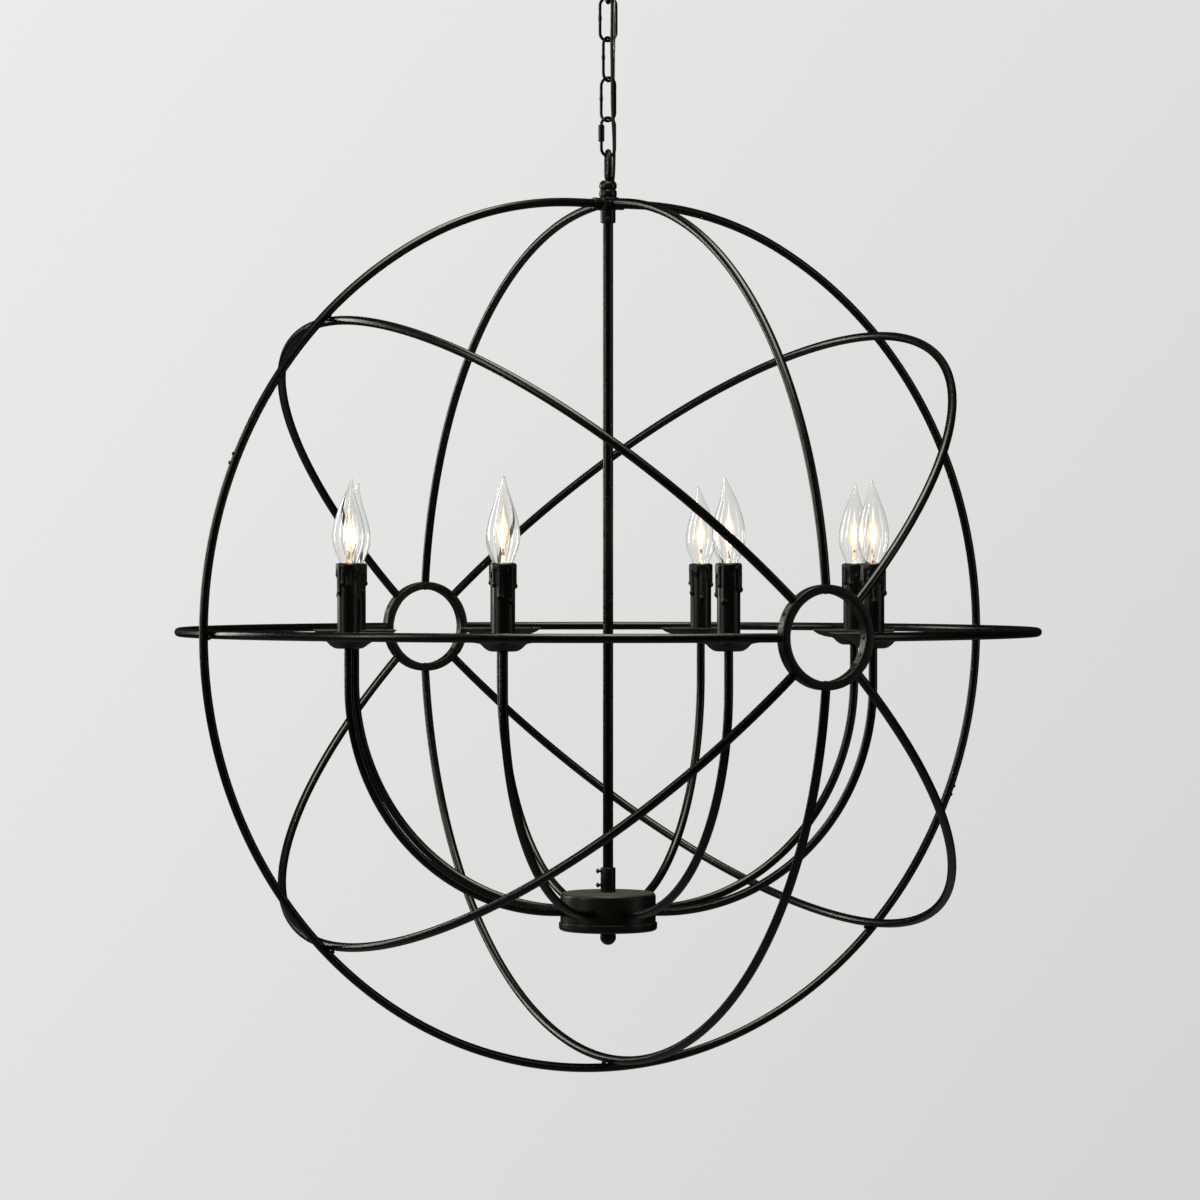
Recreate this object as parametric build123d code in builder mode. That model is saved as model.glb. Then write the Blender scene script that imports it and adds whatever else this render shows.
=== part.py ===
from build123d import *
import os
from math import cos, pi, radians, sin, sqrt, tan

os.makedirs("parts", exist_ok=True)

# Orb chandelier on a short chain: eight candle lamps inside a frame of round bars.
# Millimetres. The origin is on the ceiling plane at the hanging axis, +Z is up and the front is -Y.

# Fits and flats
moving_gap = 0.3
slip_fit = 0.15
socket_fit = 0.35
bar_sides = 8
wire_sides = 8
cord_sides = 5
turned_sides = 12
large_sides = 16
lamp_sides = 8
hex_sides = 6
drip_sides = 4
bar_runs = 5
arm_runs = 5

# Ceiling fitting
canopy_diameter = 127.0
canopy_depth = 26.0
canopy_wall = 1.2
canopy_rim_height = 4.0
canopy_seat_radius = 22.0
strap_length = 110.0
strap_width = 20.0
strap_thickness = 2.5
strap_slot_spacing = 89.0
strap_slot_length = 8.0
strap_slot_width = 4.4
nipple_radius = 4.85
nipple_bore = 3.4
nut_corner_radius = 8.5
nut_height = 5.0
collar_height = 9.0
collar_radius = 19.0
shank_radius = 13.2
shank_bore = 11.0
shank_height = 18.5
loop_floor_drop = 3.5
loop_floor_thickness = 6.5
loop_wire = 5.0
loop_eye = 16.0
loop_sink = 1.4

# Chain and quick link
link_wire = 3.0
link_length = 46.0
link_width = 19.2
link_bend_steps = 6
quick_length = 41.1
quick_width = 18.0
quick_gap = 4.0
quick_gap_rise = 7.6
sleeve_length = 16.7
sleeve_radius = 3.15
sleeve_rise = 3.3
chain_turn = -27.8
canopy_loop_turn = chain_turn - 95.0
link_turns = (chain_turn - 10.0, chain_turn + 55.0, chain_turn - 33.0)
quick_turn = chain_turn + 28.0
eye_turn = chain_turn - 82.0

# Supply cord and ground wire
cord_radius = 1.7
ground_radius = 0.9
cord_hole_fit = 0.6

# Top casting
eye_wire = 5.3
eye_inner_width = 14.0
eye_rise = 28.75
eye_sink = 1.25
bead_radius = 8.75
bead_edge = 1.2
upper_bead_height = 9.0
lower_bead_height = 8.0
hub_radius = 9.0
hub_half_height = 6.0
hub_post_radius = 4.9
hub_post_depth = 12.2
stub_radius = 5.75
stub_reach = 17.0
stub_socket_end = 9.5
coupler_radius = 7.5
coupler_depth = 13.0

# Orb frame
bar_diameter = 8.6
ring_radius = 433.2
crossing_gap = 0.2
crown_runs = 7
joint_angle = 22.5
spigot_radius = 2.8
spigot_length = 11.0
hub_ring_outer = 48.0
hub_ring_inner = 40.0
hub_ring_width = 12.0
crown_straight = 28.0
crown_dip = 0.3

# Stem and body
stem_radius = 5.15
stem_bore = 3.5
stem_collar_drop = 234.5
stem_collar_radius = 7.5
stem_collar_ledge = 9.0
body_top_drop = 259.0
body_depth = 38.0
body_radius = 47.5
body_wall = 1.5
body_edge = 3.0
cover_lip = 8.0
cover_step = 1.5
cover_floor = 2.0
centre_tube_radius = 4.5
centre_tube_bore = 3.3
centre_tube_window = 14.0
window_drop = 22.0
stud_radius = 2.4
finial_radius = 8.0
finial_hole_depth = 8.0

# Arms and lamps
lamp_count = 8
lamp_radius = 275.0
arm_phase = -3.7
arm_entry_depth = 18.0
arm_inner_end = 37.0
arm_spigot_radius = 3.2
arm_spigot_length = 11.0
pan_radius = 42.5
pan_depth = 15.0
pan_wall = 1.2
holder_radius = 8.8
holder_top = 56.0
holder_bore = 7.2
holder_bore_depth = 22.0
candle_radius = 11.0
candle_wall = 1.25
candle_top = 67.6
drip_collar_radius = 12.3
drip_collar_height = 7.0
drip_radius = 2.3
# Runs of wax: direction and length
drips = ((0.0, 38.0), (180.0, 29.0))
# Bulb outline: radius, height above the orb centre, lean of the tip
bulb_outline = (
    (8.6, 67.6, 0.0),
    (14.6, 81.0, 0.0),
    (15.8, 94.0, 0.0),
    (12.6, 112.0, 0.0),
    (5.2, 134.0, 1.2),
    (1.2, 148.0, 4.2),
)
bulb_neck = 7.4
bulb_wall = 0.9
bulb_turns = (40.0, 200.0, 110.0, 300.0, 15.0, 250.0, 160.0, 75.0)
cap_radius = 5.95
cap_length = 17.0
cap_flange_radius = 8.0
cap_flange_height = 2.0
cap_seam = 0.1

# Levels that follow from the sizes above, from the ceiling down
canopy_bottom_z = -canopy_depth
collar_bottom_z = canopy_bottom_z - collar_height
loop_floor_z = collar_bottom_z - loop_floor_drop
loop_bend = loop_eye / 2 + loop_wire / 2
loop_eye_z = loop_floor_z + loop_sink - loop_wire / 2 - loop_bend
loop_bottom_z = loop_eye_z - loop_bend
link_reach = link_length - link_wire
link_top_z = []
link_hang_z = loop_bottom_z + loop_wire / 2 + moving_gap + link_wire / 2
for _ in link_turns:
    link_top_z.append(link_hang_z)
    link_hang_z = link_hang_z - link_reach + link_wire + moving_gap
quick_top_z = link_hang_z
quick_bottom_z = quick_top_z - (quick_length - link_wire)
quick_centre_z = (quick_top_z + quick_bottom_z) / 2
eye_bend = eye_inner_width / 2 + eye_wire / 2
eye_top_z = quick_bottom_z + link_wire / 2 + moving_gap + eye_wire / 2
upper_bead_top_z = eye_top_z - eye_rise
upper_bead_bottom_z = upper_bead_top_z - upper_bead_height
lower_bead_bottom_z = upper_bead_bottom_z - lower_bead_height
hub_z = lower_bead_bottom_z - hub_half_height
bar_radius = bar_diameter / 2
bar_corner = bar_radius / cos(pi / bar_sides)
hoop_radius = ring_radius - bar_diameter - crossing_gap
orb_z = hub_z - hoop_radius
orb_centre = (0, 0, orb_z)
bar_pitch = 45.0 / bar_runs
hub_ring_y = sqrt(hoop_radius**2 - hub_ring_outer**2)
coupler_bottom_z = hub_z - hub_half_height - coupler_depth
stem_top_z = hub_z - bar_radius + 1.0
stem_collar_top_z = orb_z - stem_collar_drop
body_top_z = orb_z - body_top_drop
stem_bottom_z = body_top_z + stem_collar_ledge
cover_bottom_z = body_top_z - body_depth
cover_floor_z = cover_bottom_z + cover_floor
window_z = body_top_z - window_drop
cover_radius = body_radius + cover_step
arm_z = body_top_z - arm_entry_depth
arm_bend = lamp_radius - cover_radius
pan_seat_z = orb_z - pan_depth
pan_floor_z = pan_seat_z + pan_wall
holder_top_z = orb_z + holder_top
cap_flange_z = holder_top_z + moving_gap
chain_frame = Plane(origin=(0, 0, 0), x_dir=(cos(radians(chain_turn)), sin(radians(chain_turn)), 0),
                    z_dir=(0, 0, 1))


def write(part, name):
    """Label a finished piece and write it out."""
    part.label = name
    export_step(part, f"parts/{name}.step")


def turned(outline, sides):
    """Solid turned about Z with flat sides, from points (radius, height) or (radius, height, lean)."""
    rings = []
    for radius, height, *lean in outline:
        ring = [(radius * cos(2 * pi * k / sides) + sum(lean), radius * sin(2 * pi * k / sides), height)
                for k in range(sides)]
        rings.append(ring)
    faces = [Face(Wire.make_polygon(rings[0])), Face(Wire.make_polygon(rings[-1]))]
    for lower, upper in zip(rings, rings[1:]):
        for k in range(sides):
            faces.append(Face(Wire.make_polygon((lower[k - 1], lower[k], upper[k], upper[k - 1]))))
    return Solid(Shell(faces))


def straight(radius, bottom, top, sides):
    """Straight round of one radius between two heights."""
    return turned(((radius, bottom), (radius, top)), sides)


def bent_bar(points, normal, radius, sides, closed=False):
    """Bar of even thickness bent along points that lie in a plane with this normal."""
    stops = [Vector(*point) for point in points]
    if closed:
        stops = [(stops[0] + stops[1]) / 2, *stops[1:], stops[0]]
    with BuildPart() as bar:
        with BuildLine() as route:
            Polyline(*stops, close=closed)
        with BuildSketch(Plane(origin=stops[0], x_dir=normal, z_dir=stops[1] - stops[0])):
            RegularPolygon(radius=radius, side_count=sides, major_radius=False, rotation=180 / sides)
        sweep(path=route.wires()[0], transition=Transition.RIGHT)
    return bar.part


def oval(half_height, half_width, steps):
    """Points round a long oval or a circle in the XZ plane, with flats at its ends and sides."""
    rise = half_height - half_width
    corner = half_width / cos(pi / (2 * steps))
    points = []
    for side in (1, -1):
        for step in range(steps):
            angle = pi * (step + 0.5) / steps
            points.append((side * corner * cos(angle), 0, side * (rise + corner * sin(angle))))
    return points


def spoke(angle):
    """Direction out from the orb centre in the plane of the face ring."""
    return (cos(radians(angle)), 0, sin(radians(angle)))


def rim(angle):
    """Direction along the face ring at an angle."""
    return (-sin(radians(angle)), 0, cos(radians(angle)))


def at_spoke(angle, distance, y=0.0):
    """Point at a distance out along a spoke."""
    return (distance * cos(radians(angle)), y, orb_z + distance * sin(radians(angle)))


def side_plane(turn, radius, height):
    """Plane facing out from the vertical axis."""
    out = (cos(radians(turn)), sin(radians(turn)), 0)
    return Plane(origin=(radius * out[0], radius * out[1], height), x_dir=(0, 0, 1), z_dir=out)


# Mounting strap
with BuildPart() as mounting_strap:
    with BuildSketch(Plane.XY.offset(-strap_thickness)):
        Rectangle(strap_length, strap_width)
        with GridLocations(strap_slot_spacing, 0, 2, 1):
            SlotOverall(strap_slot_length, strap_slot_width, mode=Mode.SUBTRACT)
        RegularPolygon(radius=nipple_radius + slip_fit, side_count=turned_sides, mode=Mode.SUBTRACT)
    extrude(amount=strap_thickness)
write(mounting_strap.part, "mounting_strap")

# Threaded nipple between strap and loop
nipple_bottom_z = loop_floor_z + 1.0
nipple_tube = straight(nipple_radius, nipple_bottom_z, 0.0, turned_sides)
nipple_hole = straight(nipple_bore, nipple_bottom_z - 1.0, 1.0, turned_sides)
with BuildPart() as canopy_nipple:
    add(nipple_tube)
    add(nipple_hole, mode=Mode.SUBTRACT)
write(canopy_nipple.part, "canopy_nipple")

# Lock nut under the strap
with BuildPart() as strap_nut:
    with BuildSketch(Plane.XY.offset(-strap_thickness - nut_height)):
        RegularPolygon(radius=nut_corner_radius, side_count=hex_sides)
        RegularPolygon(radius=nipple_radius + slip_fit, side_count=turned_sides, mode=Mode.SUBTRACT)
    extrude(amount=nut_height)
write(strap_nut.part, "strap_nut")

# Routes of the supply cord and the ground wire, from inside the canopy down beside the chain and
# through the stem into the body: (right, back, height), turned with the chain
cord_start_z = -10.0
cord_stops = [
    (4.4, -6.2, cord_start_z),
    (4.2, -6.4, loop_floor_z + 8.3),
    (4.0, -6.6, link_top_z[1] + 10.8),
    (3.6, -6.8, link_top_z[1] - 4.2),
    (4.1, -7.2, link_top_z[2] - 1.5),
    (4.2, -7.3, quick_top_z + 5.2),
    (6.0, -6.0, quick_centre_z - 0.75),
    (5.9, -3.0, quick_bottom_z - 6.7),
    (5.2, -1.5, upper_bead_top_z + 0.6),
    (1.3, -0.4, upper_bead_bottom_z - 8.4),
    (1.2, 0.0, hub_z - 19.4),
    (1.3, 0.0, window_z),
]
ground_stops = [
    (7.3, -6.4, cord_start_z),
    (7.1, -6.6, loop_floor_z + 8.3),
    (6.6, -6.6, link_top_z[1] + 5.8),
    (5.9, -0.4, link_top_z[2] + 12.5),
    (6.0, -0.3, quick_top_z - 9.8),
    (5.8, -0.2, quick_bottom_z + 8.3),
    (3.9, 1.5, upper_bead_top_z + 0.6),
    (-2.1, 0.5, upper_bead_bottom_z - 8.4),
    (-2.2, 0.0, hub_z - 19.4),
    (-2.1, 0.0, window_z),
]


def beside_chain(stop):
    """Point of a route that is given beside the chain."""
    return chain_frame.from_local_coords(Vector(*stop))


def routed(stops, radius):
    """Cord of even thickness along straight runs joined by the largest bends that fit."""
    points = [beside_chain(stop) for stop in stops]
    bends = []
    for before, corner, after in zip(points, points[1:], points[2:]):
        half_turn = radians((corner - before).get_angle(after - corner)) / 2
        shorter = min((corner - before).length, (after - corner).length)
        bends.append(0.45 * shorter / tan(half_turn))
    print("bend radii", [round(bend) for bend in bends])
    with BuildPart() as cord:
        with BuildLine() as route:
            FilletPolyline(*points, radius=bends)
        path = route.wires()[0]
        with BuildSketch(Plane(origin=path @ 0, z_dir=path % 0)):
            RegularPolygon(radius=radius, side_count=cord_sides)
        sweep(path=path)
    return cord.part


write(routed(cord_stops, cord_radius), "supply_cord")
write(routed(ground_stops, ground_radius), "ground_wire")

# Canopy loop: cup with a threaded shank, and the eye that carries the chain
loop_cup = straight(shank_radius, loop_floor_z, loop_floor_z + shank_height, turned_sides)
loop_hollow = straight(shank_bore, loop_floor_z + loop_floor_thickness, loop_floor_z + shank_height + 1.0,
                       turned_sides)
loop_thread = straight(nipple_radius + slip_fit, nipple_bottom_z, 0.0, turned_sides)
loop_oval = oval(loop_bend, loop_bend, link_bend_steps)
loop_ring = bent_bar(loop_oval, (0, 1, 0), loop_wire / 2, wire_sides, closed=True)
with BuildPart() as canopy_loop:
    add(loop_cup)
    with Locations(Location((0, 0, loop_eye_z), (0, 0, canopy_loop_turn))):
        add(loop_ring)
    add(loop_hollow, mode=Mode.SUBTRACT)
    add(loop_thread, mode=Mode.SUBTRACT)
    for stop, wire in ((cord_stops[1], cord_radius), (ground_stops[1], ground_radius)):
        with BuildSketch(Plane(origin=beside_chain((stop[0], stop[1], loop_floor_z - 1.0)))):
            RegularPolygon(radius=wire + cord_hole_fit, side_count=lamp_sides)
        extrude(amount=loop_floor_thickness + 2.0, mode=Mode.SUBTRACT)
write(canopy_loop.part, "canopy_loop")

# Canopy, a spun dome with a flat seat for the collar
canopy_rim_radius = canopy_diameter / 2
dome_rise = canopy_rim_radius**2 + canopy_rim_height**2 - canopy_seat_radius**2 - canopy_depth**2
dome_z = dome_rise / (2 * (canopy_depth - canopy_rim_height))
dome_radius = sqrt(canopy_seat_radius**2 + (canopy_depth + dome_z)**2)


def dome(radius, wall):
    """Point on the dome at a radius, a wall's thickness inside it."""
    return (radius, dome_z - sqrt((dome_radius - wall)**2 - radius**2))


dome_middle = (canopy_seat_radius + canopy_rim_radius) / 2
canopy_outside = ((canopy_seat_radius, canopy_bottom_z), dome(dome_middle, 0.0),
                  (canopy_rim_radius, -canopy_rim_height), (canopy_rim_radius, 0.0))
canopy_inside = ((canopy_seat_radius, canopy_bottom_z + canopy_wall), dome(dome_middle, canopy_wall),
                 (canopy_rim_radius - canopy_wall, canopy_wall / 2 - canopy_rim_height),
                 (canopy_rim_radius - canopy_wall, 1.0))
canopy_form = turned(canopy_outside, large_sides)
canopy_hollow = turned(canopy_inside, large_sides)
collar_bore = shank_radius + moving_gap
canopy_hole = straight(collar_bore, canopy_bottom_z - 1.0, canopy_bottom_z + 3.0, turned_sides)
with BuildPart() as canopy:
    add(canopy_form)
    add(canopy_hollow, mode=Mode.SUBTRACT)
    add(canopy_hole, mode=Mode.SUBTRACT)
write(canopy.part, "canopy")

# Collar ring that holds the canopy up
collar_form = turned(((collar_radius - 2.0, collar_bottom_z), (collar_radius, collar_bottom_z + 2.0),
                      (collar_radius, canopy_bottom_z - 1.0),
                      (collar_radius - 1.0, canopy_bottom_z)), turned_sides)
collar_hole = straight(collar_bore, collar_bottom_z - 1.0, canopy_bottom_z + 1.0, turned_sides)
with BuildPart() as collar_ring:
    add(collar_form)
    add(collar_hole, mode=Mode.SUBTRACT)
write(collar_ring.part, "collar_ring")

# Chain links
link_leg = (link_width - link_wire) / 2
link_oval = oval(link_reach / 2, link_leg, link_bend_steps)
link_form = bent_bar(link_oval, (0, 1, 0), link_wire / 2, wire_sides, closed=True)
for number, (turn, top_z) in enumerate(zip(link_turns, link_top_z), start=1):
    with BuildPart() as chain_link:
        with Locations(Location((0, 0, top_z - link_reach / 2), (0, 0, turn))):
            add(link_form)
    write(chain_link.part, f"chain_link_{number}")

# Quick link, open in its left leg behind the sleeve
quick_leg = (quick_width - link_wire) / 2
quick_oval = oval((quick_length - link_wire) / 2, quick_leg, link_bend_steps)
quick_form = bent_bar(quick_oval, (0, 1, 0), link_wire / 2, wire_sides, closed=True)
with BuildPart() as quick_blank:
    add(quick_form)
    with Locations((-quick_leg, 0, quick_gap_rise)):
        Box(2 * link_wire, 2 * link_wire, quick_gap, mode=Mode.SUBTRACT)
with BuildPart() as quick_link:
    with Locations(Location((0, 0, quick_centre_z), (0, 0, quick_turn))):
        add(quick_blank.part)
write(quick_link.part, "quick_link")

# Threaded sleeve of the quick link
sleeve_half = sleeve_length / 2
sleeve_form = turned(((sleeve_radius - 0.8, -sleeve_half), (sleeve_radius, 0.8 - sleeve_half),
                      (sleeve_radius, sleeve_half - 0.8), (sleeve_radius - 0.8, sleeve_half)), lamp_sides)
sleeve_hole = straight(link_wire / 2 + 2 * moving_gap, -sleeve_length, sleeve_length, lamp_sides)
with BuildPart() as sleeve_blank:
    add(sleeve_form)
    add(sleeve_hole, mode=Mode.SUBTRACT)
with BuildPart() as quick_link_sleeve:
    with Locations(Location((0, 0, quick_centre_z + sleeve_rise), (0, 0, quick_turn))):
        with Locations((-quick_leg, 0, 0)):
            add(sleeve_blank.part)
write(quick_link_sleeve.part, "quick_link_sleeve")

# Top eye loop with its bead and the hollow post that joins it to the top casting
eye_bottom_z = upper_bead_top_z - eye_sink + eye_wire / 2
eye_oval = oval((eye_top_z - eye_bottom_z) / 2, eye_bend, link_bend_steps)
eye_form = bent_bar(eye_oval, (0, 1, 0), eye_wire / 2, wire_sides, closed=True)
upper_bead = turned(((bead_radius - bead_edge, upper_bead_bottom_z),
                     (bead_radius, upper_bead_bottom_z + bead_edge),
                     (bead_radius, upper_bead_top_z - 2 * bead_edge),
                     (bead_radius - 2 * bead_edge, upper_bead_top_z)), turned_sides)
post_bottom_z = upper_bead_bottom_z - hub_post_depth
eye_post = straight(hub_post_radius, post_bottom_z, upper_bead_bottom_z + 2.0, turned_sides)
post_hole = straight(stem_bore, post_bottom_z - 1.0, upper_bead_bottom_z - 1.0, turned_sides)
with BuildPart() as top_loop:
    add(upper_bead)
    add(eye_post)
    with Locations(Location((0, 0, (eye_top_z + eye_bottom_z) / 2), (0, 0, eye_turn))):
        add(eye_form)
    add(post_hole, mode=Mode.SUBTRACT)
    for stops, wire in ((cord_stops, cord_radius), (ground_stops, ground_radius)):
        upper = beside_chain(stops[-4])
        down = beside_chain(stops[-3]) - upper
        with BuildSketch(Plane(origin=upper - down.normalized() * 2.0, z_dir=down)):
            RegularPolygon(radius=wire + cord_hole_fit, side_count=lamp_sides)
        extrude(amount=down.length + 2.0, mode=Mode.SUBTRACT)
write(top_loop.part, "top_loop")

# Top casting: lower bead, four bar sockets and the coupler for the stem
lower_bead = turned(((bead_radius - bead_edge, lower_bead_bottom_z - 1.0),
                     (bead_radius, lower_bead_bottom_z + bead_edge),
                     (bead_radius, upper_bead_bottom_z - bead_edge),
                     (bead_radius - bead_edge, upper_bead_bottom_z)), turned_sides)
hub_block = straight(hub_radius, hub_z - hub_half_height, lower_bead_bottom_z, turned_sides)
coupler_tube = straight(coupler_radius, coupler_bottom_z, hub_z, turned_sides)
coupler_hole = straight(stem_radius + slip_fit, coupler_bottom_z - 1.0, stem_top_z + slip_fit, turned_sides)
web_hole = straight(stem_bore, coupler_bottom_z, upper_bead_bottom_z, turned_sides)
post_socket = straight(hub_post_radius + slip_fit, post_bottom_z - slip_fit, upper_bead_bottom_z + 1.0,
                       turned_sides)
stub_turns = (0, 90, 180, 270)
with BuildPart() as top_hub:
    add(hub_block)
    add(lower_bead)
    add(coupler_tube)
    for turn in stub_turns:
        with BuildSketch(side_plane(turn, hub_post_radius + 1.0, hub_z)):
            RegularPolygon(radius=stub_radius, side_count=lamp_sides)
        extrude(amount=stub_reach - hub_post_radius - 1.0)
    for turn in stub_turns:
        with BuildSketch(side_plane(turn, stub_socket_end, hub_z)):
            RegularPolygon(radius=bar_radius + socket_fit, side_count=bar_sides, major_radius=False,
                           rotation=180 / bar_sides)
        extrude(amount=stub_reach, mode=Mode.SUBTRACT)
    add(coupler_hole, mode=Mode.SUBTRACT)
    add(web_hole, mode=Mode.SUBTRACT)
    add(post_socket, mode=Mode.SUBTRACT)
write(top_hub.part, "top_hub")

# Stem
stem_tube = straight(stem_radius, stem_bottom_z, stem_top_z, turned_sides)
stem_hole = straight(stem_bore, stem_bottom_z - 1.0, stem_top_z + 1.0, turned_sides)
with BuildPart() as stem:
    add(stem_tube)
    add(stem_hole, mode=Mode.SUBTRACT)
write(stem.part, "stem")

# Stem collar on the body
collar_tube = turned(((stem_collar_radius, body_top_z), (stem_collar_radius, stem_collar_top_z - 1.0),
                      (stem_collar_radius - 1.0, stem_collar_top_z)), turned_sides)
collar_socket = straight(stem_radius + slip_fit, stem_bottom_z, stem_collar_top_z + 1.0, turned_sides)
collar_throat = straight(centre_tube_radius + slip_fit, body_top_z - 1.0, stem_bottom_z + 1.0, turned_sides)
with BuildPart() as stem_collar:
    add(collar_tube)
    add(collar_socket, mode=Mode.SUBTRACT)
    add(collar_throat, mode=Mode.SUBTRACT)
write(stem_collar.part, "stem_collar")

# Hub rings at the front and the rear, flat where the bars land on them
hub_face = Plane(origin=orb_centre, x_dir=(1, 0, 0), z_dir=(0, -1, 0))
with BuildPart() as hub_core:
    with BuildSketch(hub_face):
        RegularPolygon(radius=hub_ring_outer, side_count=large_sides, major_radius=False,
                       rotation=180 / large_sides)
    extrude(amount=2 * ring_radius, both=True)
for hub_name, offset in (("hub_ring_front", hub_ring_y), ("hub_ring_rear", -hub_ring_y)):
    with BuildPart() as hub_ring:
        with BuildSketch(hub_face.offset(offset)):
            RegularPolygon(radius=hub_ring_outer, side_count=large_sides, major_radius=False,
                           rotation=180 / large_sides)
            RegularPolygon(radius=hub_ring_inner, side_count=large_sides, rotation=180 / large_sides,
                           mode=Mode.SUBTRACT)
        extrude(amount=hub_ring_width / 2, both=True)
    write(hub_ring.part, hub_name)


# Curved bars of the orb, from hub ring to hub ring
def hoop_point(angle, swing):
    """Point on the curved bar that lies out along a spoke."""
    return at_spoke(angle, hoop_radius * cos(radians(swing)), hoop_radius * sin(radians(swing)))


hoop_names = {
    0: "hoop_right",
    45: "hoop_upper_right",
    135: "hoop_upper_left",
    180: "hoop_left",
    225: "hoop_lower_left",
    270: "hoop_bottom",
    315: "hoop_lower_right",
}
for angle, hoop_name in hoop_names.items():
    hoop_stops = [hoop_point(angle, bar_pitch * k) for k in range(-2 * bar_runs, 2 * bar_runs + 1)]
    hoop_form = bent_bar(hoop_stops, rim(angle), bar_radius, bar_sides)
    with BuildPart() as hoop:
        add(hoop_form)
        add(hub_core.part, mode=Mode.SUBTRACT)
    write(hoop.part, hoop_name)

# The top bar is in two quarters, level where they enter the top casting
bar_end = stub_socket_end + 0.5
quarter_stops = [hoop_point(90, bar_pitch * k) for k in range(-2 * bar_runs, 0)]
quarter_stops += [(0, -crown_straight, hub_z - crown_dip), (0, -bar_end, hub_z)]
quarter_form = bent_bar(quarter_stops, rim(90), bar_radius, bar_sides)
with BuildPart() as hoop_top_front:
    add(quarter_form)
    add(hub_core.part, mode=Mode.SUBTRACT)
write(hoop_top_front.part, "hoop_top_front")
with BuildPart() as hoop_top_rear:
    add(hoop_top_front.part.mirror(Plane.XZ))
write(hoop_top_rear.part, "hoop_top_rear")

# Face ring: a lower half, and two upper segments that flatten into the top casting
crown_angle = crown_runs * bar_pitch
crown_bend = (hoop_radius - ring_radius * sin(radians(crown_angle))) / (1 - sin(radians(crown_angle)))
crown_centre = ring_radius - crown_bend
joint_radius = ring_radius * cos(radians(bar_pitch / 2))


def crown_point(angle):
    """Point on the flatter bend between the face ring and the top casting."""
    x, y, z = at_spoke(crown_angle, crown_centre)
    return (x + crown_bend * cos(radians(angle)), y, z + crown_bend * sin(radians(angle)))


def joint_plane(angle):
    """Plane across the face ring at a joint, facing round the ring."""
    return Plane(origin=at_spoke(angle, joint_radius), x_dir=spoke(angle), z_dir=rim(angle))


def upper_segment(joint, first_run):
    """Face-ring segment on the +X side, from its joint up to the top casting."""
    stops = [at_spoke(joint, joint_radius)]
    stops += [at_spoke(bar_pitch * k, ring_radius) for k in range(first_run, crown_runs + 1)]
    stops += [crown_point(crown_angle + (90 - crown_angle) * k / 3) for k in range(1, 4)]
    stops += [(bar_end, 0, hub_z)]
    form = bent_bar(stops, (0, 1, 0), bar_radius, bar_sides)
    with BuildPart() as segment:
        add(form)
        with BuildSketch(joint_plane(joint)):
            RegularPolygon(radius=spigot_radius + slip_fit, side_count=bar_sides)
        extrude(amount=spigot_length + 0.5, mode=Mode.SUBTRACT)
    return segment.part


right_segment = upper_segment(-joint_angle, 1 - (bar_runs + 1) // 2)
left_segment = upper_segment(joint_angle, (bar_runs + 1) // 2)
with BuildPart() as ring_upper_right:
    add(right_segment)
write(ring_upper_right.part, "ring_upper_right")
with BuildPart() as ring_upper_left:
    add(left_segment.mirror(Plane.YZ))
write(ring_upper_left.part, "ring_upper_left")

left_joint = 180.0 - joint_angle
lower_stops = [at_spoke(left_joint, joint_radius)]
lower_stops += [at_spoke(left_joint + bar_pitch * (k + 0.5), ring_radius) for k in range(4 * bar_runs)]
lower_stops += [at_spoke(left_joint + 180, joint_radius)]
lower_form = bent_bar(lower_stops, (0, 1, 0), bar_radius, bar_sides)
with BuildPart() as ring_lower:
    add(lower_form)
    for joint, length in ((left_joint, -spigot_length), (left_joint + 180, spigot_length)):
        with BuildSketch(joint_plane(joint)):
            RegularPolygon(radius=spigot_radius, side_count=bar_sides)
        extrude(amount=length)
write(ring_lower.part, "ring_lower")

# Body pan with a hole for each arm
body_shell = turned(((body_radius, cover_floor_z), (body_radius, body_top_z - body_edge),
                     (body_radius - body_edge, body_top_z)), large_sides)
body_hollow = turned(((body_radius - body_wall, cover_floor_z - 1.0),
                      (body_radius - body_wall, body_top_z - body_edge),
                      (body_radius - body_edge - 0.4, body_top_z - body_wall)), large_sides)
centre_hole = straight(centre_tube_radius + slip_fit, body_top_z - 5.0, body_top_z + 1.0, turned_sides)
lamp_turns = [arm_phase + 360.0 / lamp_count * k for k in range(lamp_count)]
with BuildPart() as body_pan:
    add(body_shell)
    add(body_hollow, mode=Mode.SUBTRACT)
    add(centre_hole, mode=Mode.SUBTRACT)
    for turn in lamp_turns:
        with BuildSketch(side_plane(turn, arm_inner_end, arm_z)):
            RegularPolygon(radius=bar_radius + slip_fit, side_count=bar_sides, major_radius=False,
                           rotation=180 / bar_sides)
        extrude(amount=body_radius, mode=Mode.SUBTRACT)
write(body_pan.part, "body_pan")

# Body cover
cover_form = turned(((cover_radius - 3.0, cover_bottom_z), (cover_radius, cover_bottom_z + 2.0),
                     (cover_radius, cover_bottom_z + cover_lip)), large_sides)
cover_hollow = straight(body_radius + moving_gap, cover_floor_z, cover_bottom_z + cover_lip + 1.0,
                        large_sides)
stud_hole = straight(stud_radius + slip_fit, cover_bottom_z - 1.0, cover_floor_z + 1.0, bar_sides)
with BuildPart() as body_cover:
    add(cover_form)
    add(cover_hollow, mode=Mode.SUBTRACT)
    add(stud_hole, mode=Mode.SUBTRACT)
write(body_cover.part, "body_cover")

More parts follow.
